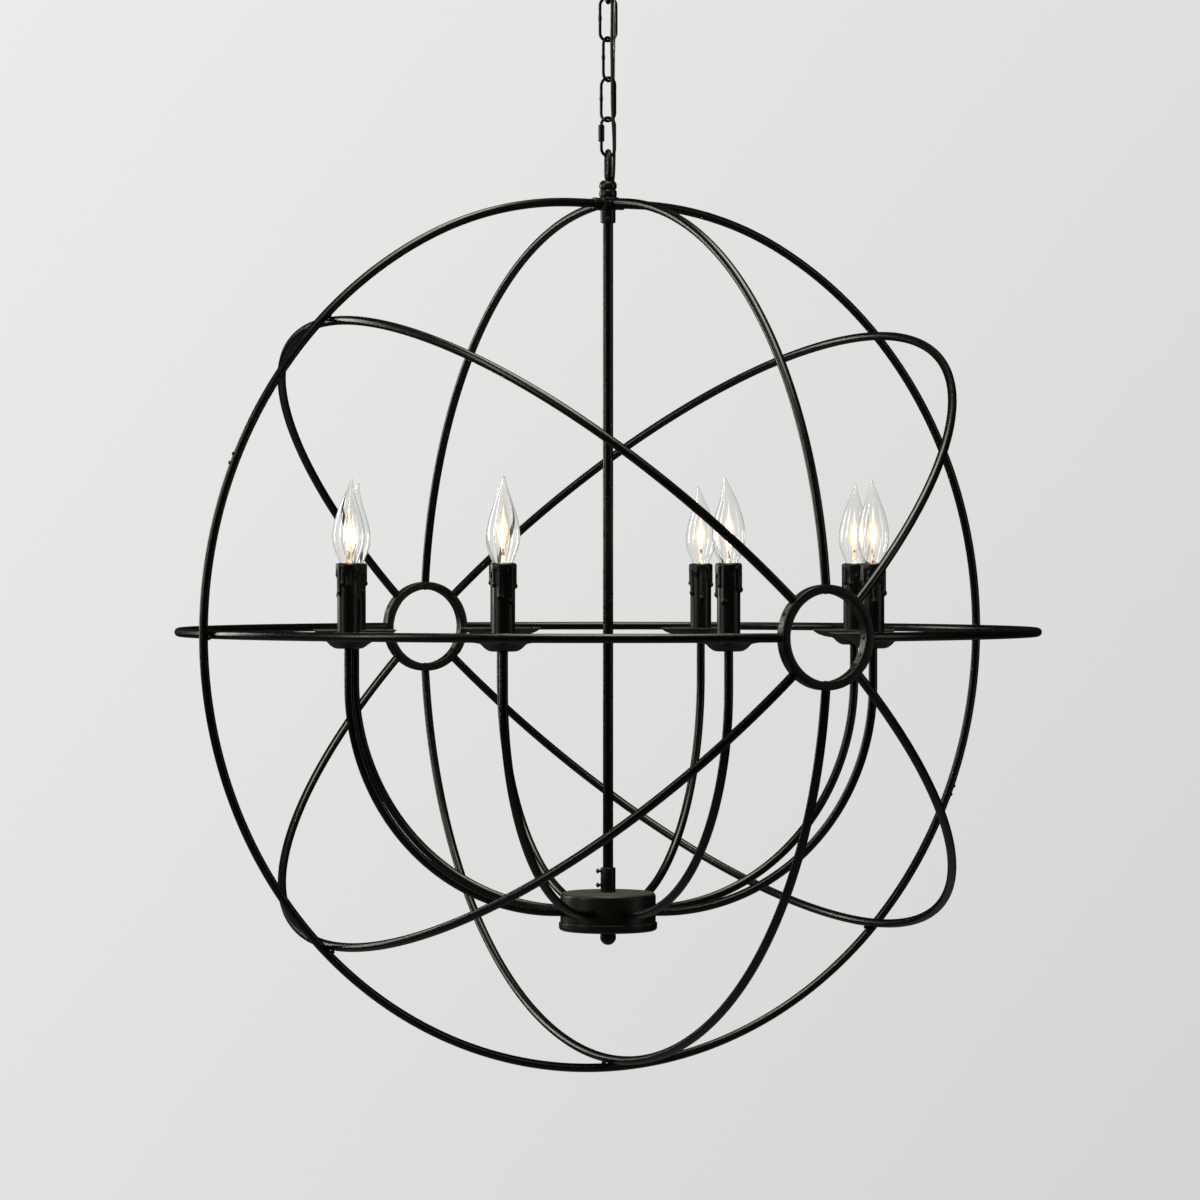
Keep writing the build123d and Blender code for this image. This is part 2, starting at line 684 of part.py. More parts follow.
# Ball finial
finial_angles = (-80.0, -54.0, -27.0, 0.0, 27.0, 54.0)
finial_z = cover_bottom_z - finial_radius * sin(radians(finial_angles[-1]))
finial_form = turned([(finial_radius * cos(radians(angle)), finial_z + finial_radius * sin(radians(angle)))
                      for angle in finial_angles], lamp_sides)
stud_bottom_z = cover_bottom_z - finial_hole_depth
finial_hole = straight(stud_radius + slip_fit, stud_bottom_z - 0.5, cover_bottom_z + 1.0, bar_sides)
with BuildPart() as finial:
    add(finial_form)
    add(finial_hole, mode=Mode.SUBTRACT)
write(finial.part, "finial")

# Centre tube of the body, windowed for the wires, with the stud that carries the finial
tube_form = straight(centre_tube_radius, cover_floor_z, stem_bottom_z, turned_sides)
stud_form = straight(stud_radius, stud_bottom_z, cover_floor_z + 1.0, bar_sides)
tube_hole = straight(centre_tube_bore, cover_floor_z + 4.0, stem_bottom_z + 1.0, turned_sides)
with BuildPart() as centre_tube:
    add(tube_form)
    add(stud_form)
    add(tube_hole, mode=Mode.SUBTRACT)
    with Locations(Location((0, 0, window_z), (0, 0, chain_turn))):
        Box(4 * centre_tube_radius, 4.6, centre_tube_window, mode=Mode.SUBTRACT)
write(centre_tube.part, "centre_tube")

# Arms: straight out of the body, a quarter bend, and straight up to the lamp
arm_stops = [(arm_inner_end, 0, arm_z)]
for run in range(arm_runs + 1):
    bend_turn = radians(90.0 * run / arm_runs)
    arm_stops.append((cover_radius + arm_bend * sin(bend_turn), 0, arm_z + arm_bend * (1 - cos(bend_turn))))
arm_stops.append((lamp_radius, 0, pan_seat_z))
arm_bar = bent_bar(arm_stops, (0, 1, 0), bar_radius, bar_sides)
spigot_top_z = pan_seat_z + arm_spigot_length
with BuildPart() as arm_form:
    add(arm_bar)
    with BuildSketch(Plane(origin=(lamp_radius, 0, pan_seat_z))):
        RegularPolygon(radius=arm_spigot_radius, side_count=bar_sides)
    extrude(amount=arm_spigot_length)
for number, turn in enumerate(lamp_turns, start=1):
    with BuildPart() as arm:
        with Locations(Location((0, 0, 0), (0, 0, turn))):
            add(arm_form.part)
    write(arm.part, f"arm_{number}")

# Drip pans: a cup in the middle of a wide dish
pan_outline = ((13.0, 0.0), (21.0, 6.2), (34.0, 9.4), (pan_radius, pan_depth))
pan_inside = ((12.2, 0.0), (20.2, 5.9), (33.4, 8.9), (pan_radius + 0.6, pan_depth))
pan_form = turned([(radius, pan_seat_z + rise) for radius, rise in pan_outline], lamp_sides)
pan_hollow = turned([(radius, pan_floor_z + rise) for radius, rise in pan_inside], lamp_sides)
pan_hole = straight(arm_spigot_radius + slip_fit, pan_seat_z - 1.0, pan_floor_z + 1.0, bar_sides)
with BuildPart() as pan_blank:
    add(pan_form)
    add(pan_hollow, mode=Mode.SUBTRACT)
    add(pan_hole, mode=Mode.SUBTRACT)
with BuildPart() as drip_pans:
    with PolarLocations(lamp_radius, lamp_count, start_angle=arm_phase):
        add(pan_blank.part)
write(drip_pans.part, "drip_pans")

# Lamp holders inside the candles
holder_form = straight(holder_radius, pan_floor_z, holder_top_z, hex_sides)
holder_well = straight(holder_bore, holder_top_z - holder_bore_depth, holder_top_z + 1.0, hex_sides)
holder_foot = straight(arm_spigot_radius + slip_fit, pan_floor_z - 1.0, spigot_top_z + 1.0, bar_sides)
with BuildPart() as holder_blank:
    add(holder_form)
    add(holder_well, mode=Mode.SUBTRACT)
    add(holder_foot, mode=Mode.SUBTRACT)
with BuildPart() as lamp_holders:
    with PolarLocations(lamp_radius, lamp_count, start_angle=arm_phase):
        add(holder_blank.part)
write(lamp_holders.part, "lamp_holders")

# Candle sleeves with runs of wax down their sides
candle_top_z = orb_z + candle_top
candle_tube = turned(((candle_radius, pan_floor_z), (candle_radius, candle_top_z - drip_collar_height),
                      (drip_collar_radius, candle_top_z - 0.5 * drip_collar_height),
                      (drip_collar_radius, candle_top_z)), lamp_sides)
candle_bore = straight(candle_radius - candle_wall, pan_floor_z - 1.0, candle_top_z + 1.0, lamp_sides)
with BuildPart() as candle_blank:
    add(candle_tube)
    for turn, length in drips:
        drip_start = side_plane(turn, candle_radius - 0.3, candle_top_z - 2.0).origin
        with BuildSketch(Plane(origin=drip_start, z_dir=(0, 0, -1))):
            RegularPolygon(radius=drip_radius, side_count=drip_sides, rotation=-turn)
        extrude(amount=length - 2.0, taper=1.2)
    add(candle_bore, mode=Mode.SUBTRACT)
with BuildPart() as candle_sleeves:
    with PolarLocations(lamp_radius, lamp_count, start_angle=arm_phase):
        add(candle_blank.part)
write(candle_sleeves.part, "candle_sleeves")

# Flame bulbs with bent tips, each a glass envelope on a screw cap
glass_z = cap_flange_z + cap_flange_height + cap_seam
glass_outside = [(bulb_neck, glass_z)]
glass_outside += [(radius, orb_z + height, lean) for radius, height, lean in bulb_outline]
glass_inside = [(bulb_neck - bulb_wall, glass_z - 1.0)]
glass_inside += [(radius - bulb_wall, orb_z + height, lean) for radius, height, lean in bulb_outline[0:5:2]]
glass_form = turned(glass_outside, bar_sides)
glass_hollow = turned(glass_inside, bar_sides)
cap_form = turned(((cap_radius / 2, cap_flange_z - cap_length - 2.0), (cap_radius, cap_flange_z - cap_length),
                   (cap_radius, cap_flange_z), (cap_flange_radius, cap_flange_z),
                   (cap_flange_radius, cap_flange_z + cap_flange_height)), hex_sides)
with BuildPart() as bulb_form:
    add(glass_form)
    add(glass_hollow, mode=Mode.SUBTRACT)
    add(cap_form)
for number, (turn, bulb_turn) in enumerate(zip(lamp_turns, bulb_turns), start=1):
    lamp_place = side_plane(turn, lamp_radius, 0).origin
    with BuildPart() as bulb:
        with Locations(Location(tuple(lamp_place), (0, 0, bulb_turn))):
            add(bulb_form.part)
    write(bulb.part, f"bulb_{number}")
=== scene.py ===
from math import acos, cos, degrees, exp, pi, radians, sin, sqrt

import bmesh
import bpy
from mathutils import Matrix, Vector


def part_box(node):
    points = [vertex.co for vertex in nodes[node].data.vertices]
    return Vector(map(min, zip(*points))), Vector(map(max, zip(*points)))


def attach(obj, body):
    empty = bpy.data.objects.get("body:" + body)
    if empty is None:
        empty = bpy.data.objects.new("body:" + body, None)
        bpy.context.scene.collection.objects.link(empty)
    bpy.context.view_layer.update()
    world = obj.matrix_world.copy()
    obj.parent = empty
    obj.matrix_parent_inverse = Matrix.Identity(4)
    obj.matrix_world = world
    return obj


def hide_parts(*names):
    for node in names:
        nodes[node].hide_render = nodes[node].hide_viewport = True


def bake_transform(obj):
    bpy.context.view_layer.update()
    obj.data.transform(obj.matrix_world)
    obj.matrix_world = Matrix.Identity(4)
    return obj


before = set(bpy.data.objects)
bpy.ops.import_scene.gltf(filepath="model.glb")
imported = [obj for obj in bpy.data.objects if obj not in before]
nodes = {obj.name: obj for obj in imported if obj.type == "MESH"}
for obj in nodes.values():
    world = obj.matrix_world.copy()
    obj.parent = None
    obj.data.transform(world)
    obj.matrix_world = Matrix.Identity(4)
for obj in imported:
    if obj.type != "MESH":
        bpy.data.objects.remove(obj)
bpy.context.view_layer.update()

MM = 0.001

# Sizes in millimetres, in the frame of the solids: origin at the ceiling, +Z up, front at -Y
hub_low, hub_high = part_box("hub_ring_front")
ORB_Z = (hub_low.z + hub_high.z) / 2 / MM
BAR = 4.3  # radius of the bars and arms
HOOP = 424.4  # radius of the curved bars' bend
RING = 433.2  # radius of the face ring
HUB_IN, HUB_OUT, HUB_HALF = 40.0, 48.0, 6.0  # hub rings: radii and half width
HUB_Y = sqrt(HOOP ** 2 - HUB_OUT ** 2)
CAST_Z = ORB_Z + HOOP  # level of the bars in the top casting
SOCKET_END = 12.0  # where the bars end inside the top casting
COUPLER_R, SOCKET_BORE = 7.5, 5.3  # coupler and stem collar
BODY_TOP = ORB_Z - 259.0
COVER_BOTTOM = BODY_TOP - 38.0
STEM_BOTTOM, STEM_COLLAR_TOP = BODY_TOP + 9.0, ORB_Z - 234.5
ARM_Z = BODY_TOP - 18.0
PAN_Z = ORB_Z - 15.0
SLEEVE_TOP = ORB_Z + 67.6
LAMP_R, LAMP_PHASE = 275.0, -3.7
LAMP_TURNS = [LAMP_PHASE + 45.0 * k for k in range(8)]
BULB_TURNS = (40.0, 200.0, 110.0, 300.0, 15.0, 250.0, 160.0, 75.0)
CHAIN_TURN = -27.8

# Materials
PAINT_DEPTH, FINE_DEPTH = 0.0002, 0.0001  # depths of bumps in metres
NOISE_LOW, NOISE_HIGH = 0.25, 0.75  # the range that noise mostly keeps to
# Painted top light: faces that look up get a lighter, rougher colour, as if lit from above
LIT_TOP_START, LIT_TOP_FULL = 0.55, 0.95  # how far up a face looks
LIT_TOP_ROUGH = 0.9


def material(name):
    """New material: its node tree and its main shader."""
    mat = bpy.data.materials.new(name)
    mat.use_nodes = True
    tree = mat.node_tree
    return mat, tree, tree.nodes["Principled BSDF"]


def noise(tree, scale, detail=4.0, rough=0.6, stretch=None):
    """Noise over the object's own coordinates."""
    coords = tree.nodes.new("ShaderNodeTexCoord")
    mapping = tree.nodes.new("ShaderNodeMapping")
    if stretch:
        mapping.inputs["Scale"].default_value = stretch
    tex = tree.nodes.new("ShaderNodeTexNoise")
    tex.inputs["Scale"].default_value = scale
    tex.inputs["Detail"].default_value = detail
    tex.inputs["Roughness"].default_value = rough
    tree.links.new(coords.outputs["Object"], mapping.inputs["Vector"])
    tree.links.new(mapping.outputs["Vector"], tex.inputs["Vector"])
    return tex.outputs["Fac"]


def ramp(tree, source, stops):
    """Colour ramp over a value."""
    node = tree.nodes.new("ShaderNodeValToRGB")
    elements = node.color_ramp.elements
    while len(elements) < len(stops):
        elements.new(0.5)
    for element, (place, colour) in zip(elements, stops):
        element.position = place
        element.color = (*colour, 1.0)
    tree.links.new(source, node.inputs["Fac"])
    return node.outputs["Color"]


def map_range(tree, source, first, last, low=0.0, high=1.0):
    """Value that goes from low to high while its source goes from first to last."""
    node = tree.nodes.new("ShaderNodeMapRange")
    node.inputs["From Min"].default_value = first
    node.inputs["From Max"].default_value = last
    node.inputs["To Min"].default_value = low
    node.inputs["To Max"].default_value = high
    tree.links.new(source, node.inputs["Value"])
    return node


def spread(tree, source, low, high):
    """Noise spread from low to high."""
    return map_range(tree, source, NOISE_LOW, NOISE_HIGH, low, high).outputs["Result"]


def calc(tree, operation, *values):
    """Math node over sockets and plain numbers."""
    node = tree.nodes.new("ShaderNodeMath")
    node.operation = operation
    for socket, value in zip(node.inputs, values):
        if isinstance(value, float):
            socket.default_value = value
        else:
            tree.links.new(value, socket)
    return node.outputs["Value"]


def bump(tree, shader, source, strength, distance):
    """Bump from a value."""
    node = tree.nodes.new("ShaderNodeBump")
    node.inputs["Strength"].default_value = strength
    node.inputs["Distance"].default_value = distance
    tree.links.new(source, node.inputs["Height"])
    tree.links.new(node.outputs["Normal"], shader.inputs["Normal"])


def top_light_share(tree):
    """Share of painted top light on a face: full where it looks up."""
    normal = tree.nodes.new("ShaderNodeNewGeometry")
    split = tree.nodes.new("ShaderNodeSeparateXYZ")
    tree.links.new(normal.outputs["Normal"], split.inputs["Vector"])
    return map_range(tree, split.outputs["Z"], LIT_TOP_START, LIT_TOP_FULL).outputs["Result"]


def mixed(tree, share, first, second, kind):
    """First colour or value, going over with a share to the second, which may be a number."""
    mix = tree.nodes.new("ShaderNodeMix")
    mix.data_type = kind
    socket_type = "RGBA" if kind == "RGBA" else "VALUE"
    from_socket, to_socket = [socket for socket in mix.inputs if socket.type == socket_type][-2:]
    tree.links.new(share, mix.inputs["Factor"])
    tree.links.new(first, from_socket)
    if isinstance(second, float):
        to_socket.default_value = second
    else:
        tree.links.new(second, to_socket)
    return next(socket for socket in mix.outputs if socket.enabled)


def dark_paint(name, stops, rough, grain, top_light=None):
    """Dark hand-rubbed paint over metal: cloudy colour, uneven sheen and a fine powder grain.

    rough is the lowest and highest roughness, and grain the scale and strength of the bump.
    """
    mat, tree, shader = material(name)
    colour = ramp(tree, noise(tree, scale=60.0, detail=6.0, rough=0.65), stops)
    sheen = spread(tree, noise(tree, scale=140.0, detail=5.0), *rough)
    # Faces that look up get a lighter colour: painted light from above
    if top_light:
        film = top_light_share(tree)
        top_light_colour = ramp(tree, noise(tree, scale=35.0, detail=5.0), top_light)
        colour = mixed(tree, film, colour, top_light_colour, "RGBA")
        sheen = mixed(tree, film, sheen, LIT_TOP_ROUGH, "FLOAT")
    tree.links.new(colour, shader.inputs["Base Color"])
    tree.links.new(sheen, shader.inputs["Roughness"])
    scale, strength = grain
    bump(tree, shader, noise(tree, scale, detail=3.0, rough=0.7), strength, PAINT_DEPTH)
    shader.inputs["Specular IOR Level"].default_value = 0.3
    return mat


bar_paint = dark_paint(
    "bar_paint",
    ((0.30, (0.0010, 0.0011, 0.0009)), (0.62, (0.0021, 0.0020, 0.0017)),
     (0.80, (0.0060, 0.0046, 0.0034))),
    rough=(0.24, 0.34), grain=(2600.0, 0.025))
cast_paint = dark_paint(
    "cast_paint",
    ((0.28, (0.0014, 0.0013, 0.0011)), (0.60, (0.0040, 0.0033, 0.0026)),
     (0.82, (0.0150, 0.0105, 0.0070))),
    rough=(0.30, 0.42), grain=(1500.0, 0.06))
# Body and canopy paint; its last stops are a lighter colour on faces that look up: painted light
# from above
body_paint = dark_paint(
    "body_paint",
    ((0.25, (0.0024, 0.0022, 0.0018)), (0.60, (0.0070, 0.0060, 0.0047)),
     (0.85, (0.0190, 0.0145, 0.0105))),
    rough=(0.34, 0.46), grain=(1900.0, 0.10),
    top_light=((0.3, (0.034, 0.029, 0.022)), (0.7, (0.056, 0.047, 0.036))))
# Drip pan paint; its last stops are a lighter brown on faces that look up: painted glints and light
# from above
pan_paint = dark_paint(
    "pan_paint",
    ((0.30, (0.0010, 0.0010, 0.0008)), (0.62, (0.0024, 0.0020, 0.0016)),
     (0.80, (0.0080, 0.0055, 0.0038))),
    rough=(0.30, 0.42), grain=(2600.0, 0.05),
    top_light=((0.3, (0.006, 0.0045, 0.0032)), (0.7, (0.022, 0.0145, 0.0095))))
# Light brown for the plates on the hub rings and the wires round the drip pans' rims: painted
# highlight and painted glints
highlight_paint = dark_paint(
    "highlight_paint",
    ((0.30, (0.030, 0.022, 0.016)), (0.55, (0.100, 0.078, 0.062)), (0.80, (0.210, 0.170, 0.138))),
    rough=(0.36, 0.50), grain=(1500.0, 0.12))
chain_paint = dark_paint(
    "chain_paint",
    ((0.30, (0.0011, 0.0011, 0.0010)), (0.60, (0.0028, 0.0025, 0.0020)),
     (0.82, (0.0090, 0.0066, 0.0046))),
    rough=(0.24, 0.36), grain=(2200.0, 0.02))
screw_paint = dark_paint(
    "screw_paint",
    ((0.3, (0.007, 0.006, 0.0055)), (0.6, (0.018, 0.014, 0.011)), (0.8, (0.045, 0.033, 0.024))),
    rough=(0.26, 0.42), grain=(2500.0, 0.10))
candle_paint = dark_paint(
    "candle_paint",
    ((0.3, (0.0016, 0.0015, 0.0013)), (0.6, (0.0032, 0.0028, 0.0024)),
     (0.85, (0.0080, 0.0062, 0.0049))),
    rough=(0.30, 0.42), grain=(900.0, 0.12))


def mottled(name, scale, stops, rough, grain=None, metallic=0.0):
    """Material with a mottled colour and sheen, and a fine bump where a grain is given."""
    mat, tree, shader = material(name)
    clouds = noise(tree, scale)
    tree.links.new(ramp(tree, clouds, stops), shader.inputs["Base Color"])
    tree.links.new(spread(tree, clouds, *rough), shader.inputs["Roughness"])
    if grain:
        grain_scale, strength = grain
        bump(tree, shader, noise(tree, grain_scale), strength, FINE_DEPTH)
    shader.inputs["Metallic"].default_value = metallic
    return mat


def plated_steel():
    """Zinc-plated steel with faint drawn lines."""
    mat, tree, shader = material("plated_steel")
    lines = noise(tree, scale=300.0, detail=3.0, rough=0.5, stretch=(0.15, 3.0, 3.0))
    colour = ramp(tree, lines, ((0.3, (0.17, 0.165, 0.155)), (0.7, (0.28, 0.275, 0.26))))
    tree.links.new(colour, shader.inputs["Base Color"])
    tree.links.new(spread(tree, lines, 0.55, 0.70), shader.inputs["Roughness"])
    bump(tree, shader, lines, 0.10, FINE_DEPTH)
    shader.inputs["Metallic"].default_value = 1.0
    return mat


def clear_glass():
    """Clear blown glass, slightly uneven in its polish, that casts no shadow."""
    mat, tree, shader = material("clear_glass")
    shader.inputs["Base Color"].default_value = (0.985, 0.985, 0.98, 1.0)
    shader.inputs["Transmission Weight"].default_value = 1.0
    shader.inputs["IOR"].default_value = 1.52
    waves = noise(tree, scale=90.0, detail=2.0, rough=0.4)
    tree.links.new(spread(tree, waves, 0.0, 0.03), shader.inputs["Roughness"])
    rays = tree.nodes.new("ShaderNodeLightPath")
    cover = calc(tree, "SUBTRACT", 1.0, rays.outputs["Is Shadow Ray"])
    tree.links.new(cover, shader.inputs["Alpha"])
    return mat


def glow(name, stops, scale, strength, cover=1.0):
    """Glowing wire, glass or air, uneven along its length."""
    mat, tree, shader = material(name)
    colour = ramp(tree, noise(tree, scale, detail=2.0), stops)
    tree.links.new(colour, shader.inputs["Emission Color"])
    tree.links.new(colour, shader.inputs["Base Color"])
    shader.inputs["Emission Strength"].default_value = strength
    shader.inputs["Roughness"].default_value = 0.4
    shader.inputs["Alpha"].default_value = cover
    return mat


steel = plated_steel()
ceramic = mottled("holder_ceramic", 300.0, ((0.3, (0.52, 0.49, 0.43)), (0.7, (0.62, 0.59, 0.53))),
                  rough=(0.45, 0.6), grain=(1500.0, 0.1))
cap_brass = mottled("cap_brass", 400.0, ((0.3, (0.60, 0.40, 0.15)), (0.7, (0.78, 0.56, 0.25))),
                    rough=(0.2, 0.38), metallic=1.0)
bare_copper = mottled("bare_copper", 500.0, ((0.3, (0.46, 0.30, 0.20)), (0.7, (0.74, 0.53, 0.38))),
                      rough=(0.30, 0.5), grain=(2500.0, 0.15), metallic=1.0)
jacket = mottled("cord_jacket", 250.0,
                 ((0.3, (0.0050, 0.0042, 0.0036)), (0.7, (0.0120, 0.0094, 0.0074))),
                 rough=(0.42, 0.56), grain=(1800.0, 0.15))
glass = clear_glass()
filament_glow = glow("filament_glow", ((0.3, (1.0, 0.60, 0.24)), (0.7, (1.0, 0.80, 0.48))),
                     scale=300.0, strength=60.0)
mount_glow = glow("mount_glow", ((0.42, (0.16, 0.07, 0.035)), (0.58, (1.0, 0.78, 0.54))),
                  scale=260.0, strength=0.42)
core_glow = glow("core_glow", ((0.3, (1.0, 0.78, 0.48)), (0.7, (1.0, 0.88, 0.64))),
                 scale=60.0, strength=3.4, cover=0.26)
warm_glow = glow("warm_glow", ((0.3, (1.0, 0.60, 0.27)), (0.7, (1.0, 0.72, 0.40))),
                 scale=60.0, strength=1.7, cover=0.10)
halo_glow = glow("halo_glow", ((0.3, (1.0, 0.48, 0.18)), (0.7, (1.0, 0.60, 0.28))),
                 scale=60.0, strength=1.05, cover=0.06)


# Mesh helpers
def build(name, verts, faces, mat, sharp):
    """Mesh object from points in millimetres, with hard edges above an angle in degrees."""
    mesh = bpy.data.meshes.new(name)
    mesh.from_pydata([tuple(c * MM for c in v) for v in verts], [], faces)
    work = bmesh.new()
    work.from_mesh(mesh)
    bmesh.ops.remove_doubles(work, verts=work.verts, dist=1e-6)
    bmesh.ops.recalc_face_normals(work, faces=work.faces)
    work.to_mesh(mesh)
    work.free()
    for face in mesh.polygons:
        face.use_smooth = True
    mesh.set_sharp_from_angle(angle=radians(sharp))
    mesh.materials.append(mat)
    piece = bpy.data.objects.new(name, mesh)
    bpy.context.scene.collection.objects.link(piece)
    return piece


class Shape:
    """Points and faces gathered for one object."""

    def __init__(self):
        self.verts = []
        self.faces = []

    def add(self, verts, faces, place=None):
        start = len(self.verts)
        if place is not None:
            verts = [tuple(place @ Vector(v)) for v in verts]
        self.verts += [tuple(v) for v in verts]
        self.faces += [tuple(start + i for i in face) for face in faces]
        return self

    def done(self, name, mat, sharp=35.0):
        return build(name, self.verts, self.faces, mat, sharp)


def skin(rows, sides):
    """Faces between rings that have the same number of points."""
    faces = []
    for row in range(rows - 1):
        for k in range(sides):
            a, b = row * sides + k, row * sides + (k + 1) % sides
            faces.append((a, b, b + sides, a + sides))
    return faces


def lathe(profile, sides=64):
    """Surface turned about Z from (radius, height) points; a zero radius closes an end."""
    turns = [2 * pi * k / sides for k in range(sides)]
    verts = [(radius * cos(turn), radius * sin(turn), height)
             for radius, height in profile for turn in turns]
    return verts, skin(len(profile), sides)


def tube(points, radius, sides=16, closed=False):
    """Round tube along points; radius is a number or one for each point."""
    points = [Vector(p) for p in points]
    count = len(points)
    radii = radius if isinstance(radius, (list, tuple)) else [radius] * count
    ahead = []
    for k in range(count):
        before = points[k - 1] if closed or k else points[k]
        after = points[(k + 1) % count] if closed or k < count - 1 else points[k]
        ahead.append((after - before).normalized())
    side = ahead[0].orthogonal().normalized()
    sides_at = []
    for k in range(count):
        side = (side - ahead[k] * side.dot(ahead[k])).normalized()
        sides_at.append(side)
    twist = 0.0
    if closed:
        home = (side - ahead[0] * side.dot(ahead[0])).normalized()
        sense = 1 if home.cross(sides_at[0]).dot(ahead[0]) > 0 else -1
        twist = home.angle(sides_at[0]) * sense
    verts = []
    for k in range(count):
        turned = Matrix.Rotation(twist * k / count, 3, ahead[k]) @ sides_at[k]
        other = ahead[k].cross(turned)
        for j in range(sides):
            angle = 2 * pi * j / sides
            verts.append(points[k] + (turned * cos(angle) + other * sin(angle)) * radii[k])
    faces = skin(count, sides)
    last = (count - 1) * sides
    if closed:
        faces += [(last + j, last + (j + 1) % sides, (j + 1) % sides, j) for j in range(sides)]
    else:
        faces += [tuple(range(sides - 1, -1, -1)), tuple(range(last, last + sides))]
    return [tuple(v) for v in verts], faces


def arc(first, last, count):
    """Angles from first to last, in radians."""
    return [radians(first + (last - first) * k / count) for k in range(count + 1)]


def bent(start, corner, end, steps):
    """Points of a smooth bend from start to end, inside a corner."""
    shares = [step / steps for step in range(steps + 1)]
    return [tuple(start * (1 - t) ** 2 + corner * (2 * t * (1 - t)) + end * t ** 2) for t in shares]


def rounded(profile, fillets, steps=4):
    """Profile with its inner corners rounded by the given radii."""
    out = [profile[0]]
    for k in range(1, len(profile) - 1):
        corner = Vector(profile[k])
        before = Vector(profile[k - 1]) - corner
        after = Vector(profile[k + 1]) - corner
        reach = min(fillets[k - 1], 0.45 * before.length, 0.45 * after.length)
        out += bent(corner + before.normalized() * reach, corner,
                    corner + after.normalized() * reach, steps)
    out.append(profile[-1])
    return out


def placed(x=0.0, y=0.0, z=0.0, turn=0.0):
    """Place with a turn about Z."""
    return Matrix.Translation((x, y, z)) @ Matrix.Rotation(radians(turn), 4, "Z")


def out_from(point, direction):
    """Place at a point with Z along a direction."""
    facing = Vector(direction).to_track_quat("Z", "Y").to_matrix().to_4x4()
    return Matrix.Translation(point) @ facing


def oval(half_height, half_width, steps=14, legs=6):
    """Points round a long oval in the XZ plane, with its legs divided."""
    rise = half_height - half_width
    points = []
    for side in (1, -1):
        for k in range(steps + 1):
            angle = pi * k / steps
            points.append((side * half_width * cos(angle), 0,
                           side * (rise + half_width * sin(angle))))
        for k in range(1, legs):
            points.append((-side * half_width, 0, side * rise * (1 - 2 * k / legs)))
    return points


def finish_piece(piece, body, slot, *replaced):
    """Piece on its body, hiding the solids that it stands for; the finish slot is not used."""
    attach(piece, body)
    if replaced:
        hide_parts(*replaced)


def metal(shape, name, mat, body, *replaced):
    """Dark metal piece on its body."""
    finish_piece(shape.done(name, mat), body, "bronze_black", *replaced)


def dress(node, mat):
    """Procedural material on a solid that stays."""
    data = nodes[node].data
    data.materials.clear()
    data.materials.append(mat)


def screw_head(radius, height):
    """Round screw head standing on Z = 0, with a recess."""
    profile = [(radius, -0.4), (radius, 0.15 * height)]
    profile += [(radius * cos(a), height * (0.15 + 0.85 * sin(a))) for a in arc(12, 78, 5)]
    profile += [(0.25 * radius, height), (0.22 * radius, 0.72 * height), (0.0, 0.70 * height)]
    return lathe(profile, 20)


# Camera at the photograph's viewing angle, placed in metres
AZIMUTH, ELEVATION, DISTANCE = radians(-27.796), radians(0.43), 4.2707
SENSOR_MM, FOCAL_PIXELS, IMAGE_PIXELS = 36.0, 4300.1, 1200.0
SHIFT_LEFT, SHIFT_UP = 0.008, 0.0312
orb_centre = Vector((0, 0, ORB_Z * MM))
back = Vector((sin(AZIMUTH) * cos(ELEVATION), -cos(AZIMUTH) * cos(ELEVATION), sin(ELEVATION)))
right = Vector((cos(AZIMUTH), sin(AZIMUTH), 0.0))
up = back.cross(right)
camera_data = bpy.data.cameras.new("camera")
camera_data.sensor_width = SENSOR_MM
camera_data.lens = FOCAL_PIXELS / IMAGE_PIXELS * SENSOR_MM
camera = bpy.data.objects.new("camera", camera_data)
stand = orb_centre + back * DISTANCE - right * SHIFT_LEFT + up * SHIFT_UP
camera.matrix_world = Matrix(((right.x, up.x, back.x, stand.x), (right.y, up.y, back.y, stand.y),
                              (right.z, up.z, back.z, stand.z), (0, 0, 0, 1)))
bpy.context.scene.collection.objects.link(camera)
bpy.context.scene.camera = camera
bpy.context.scene.view_settings.view_transform = "Standard"

# Supply cord and ground wire: the points of their routes above the orb centre, turned with the
# chain, in pieces that each cross one joint
ROUTE_TOP, ROUTE_END = -10.0 - ORB_Z, BODY_TOP - 22.0 - ORB_Z
CORD_STOPS = (
    (4.4, -6.2, ROUTE_TOP), (4.2, -6.4, 655.0), (4.0, -6.6, 600.0), (3.6, -6.8, 585.0),
    (4.1, -7.2, 548.0), (4.2, -7.3, 515.0), (6.0, -6.0, 490.0), (5.9, -3.0, 465.0),
    (5.2, -1.5, 448.0), (1.3, -0.4, 430.0), (1.2, 0.0, 405.0), (1.3, 0.0, ROUTE_END))
GROUND_STOPS = (
    (7.3, -6.4, ROUTE_TOP), (7.1, -6.6, 655.0), (6.6, -6.6, 595.0), (5.9, -0.4, 562.0),
    (6.0, -0.3, 500.0), (5.8, -0.2, 480.0), (3.9, 1.5, 448.0), (-2.1, 0.5, 430.0),
    (-2.2, 0.0, 405.0), (-2.1, 0.0, ROUTE_END))
HINGES = (-60.6, -99.3, -139.0, -178.7, -213.5)


def route_points(stops):
    """Points along the smooth line of a route, in millimetres."""
    curve = bpy.data.curves.new("route", "CURVE")
    curve.dimensions = "3D"
    curve.resolution_u = 24
    spline = curve.splines.new("NURBS")
    spline.points.add(len(stops) - 1)
    beside = Matrix.Rotation(radians(CHAIN_TURN), 3, "Z")
    for point, (x, y, z) in zip(spline.points, stops):
        spot = beside @ Vector((x, y, z))
        point.co = (spot.x, spot.y, spot.z + ORB_Z, 1.0)
    spline.order_u = 3
    spline.use_endpoint_u = True
    holder = bpy.data.objects.new("route", curve)
    bpy.context.scene.collection.objects.link(holder)
    bpy.context.view_layer.update()
    mesh = bpy.data.meshes.new_from_object(holder)
    points = [v.co.copy() for v in mesh.vertices]
    bpy.data.objects.remove(holder)
    bpy.data.meshes.remove(mesh)
    return points


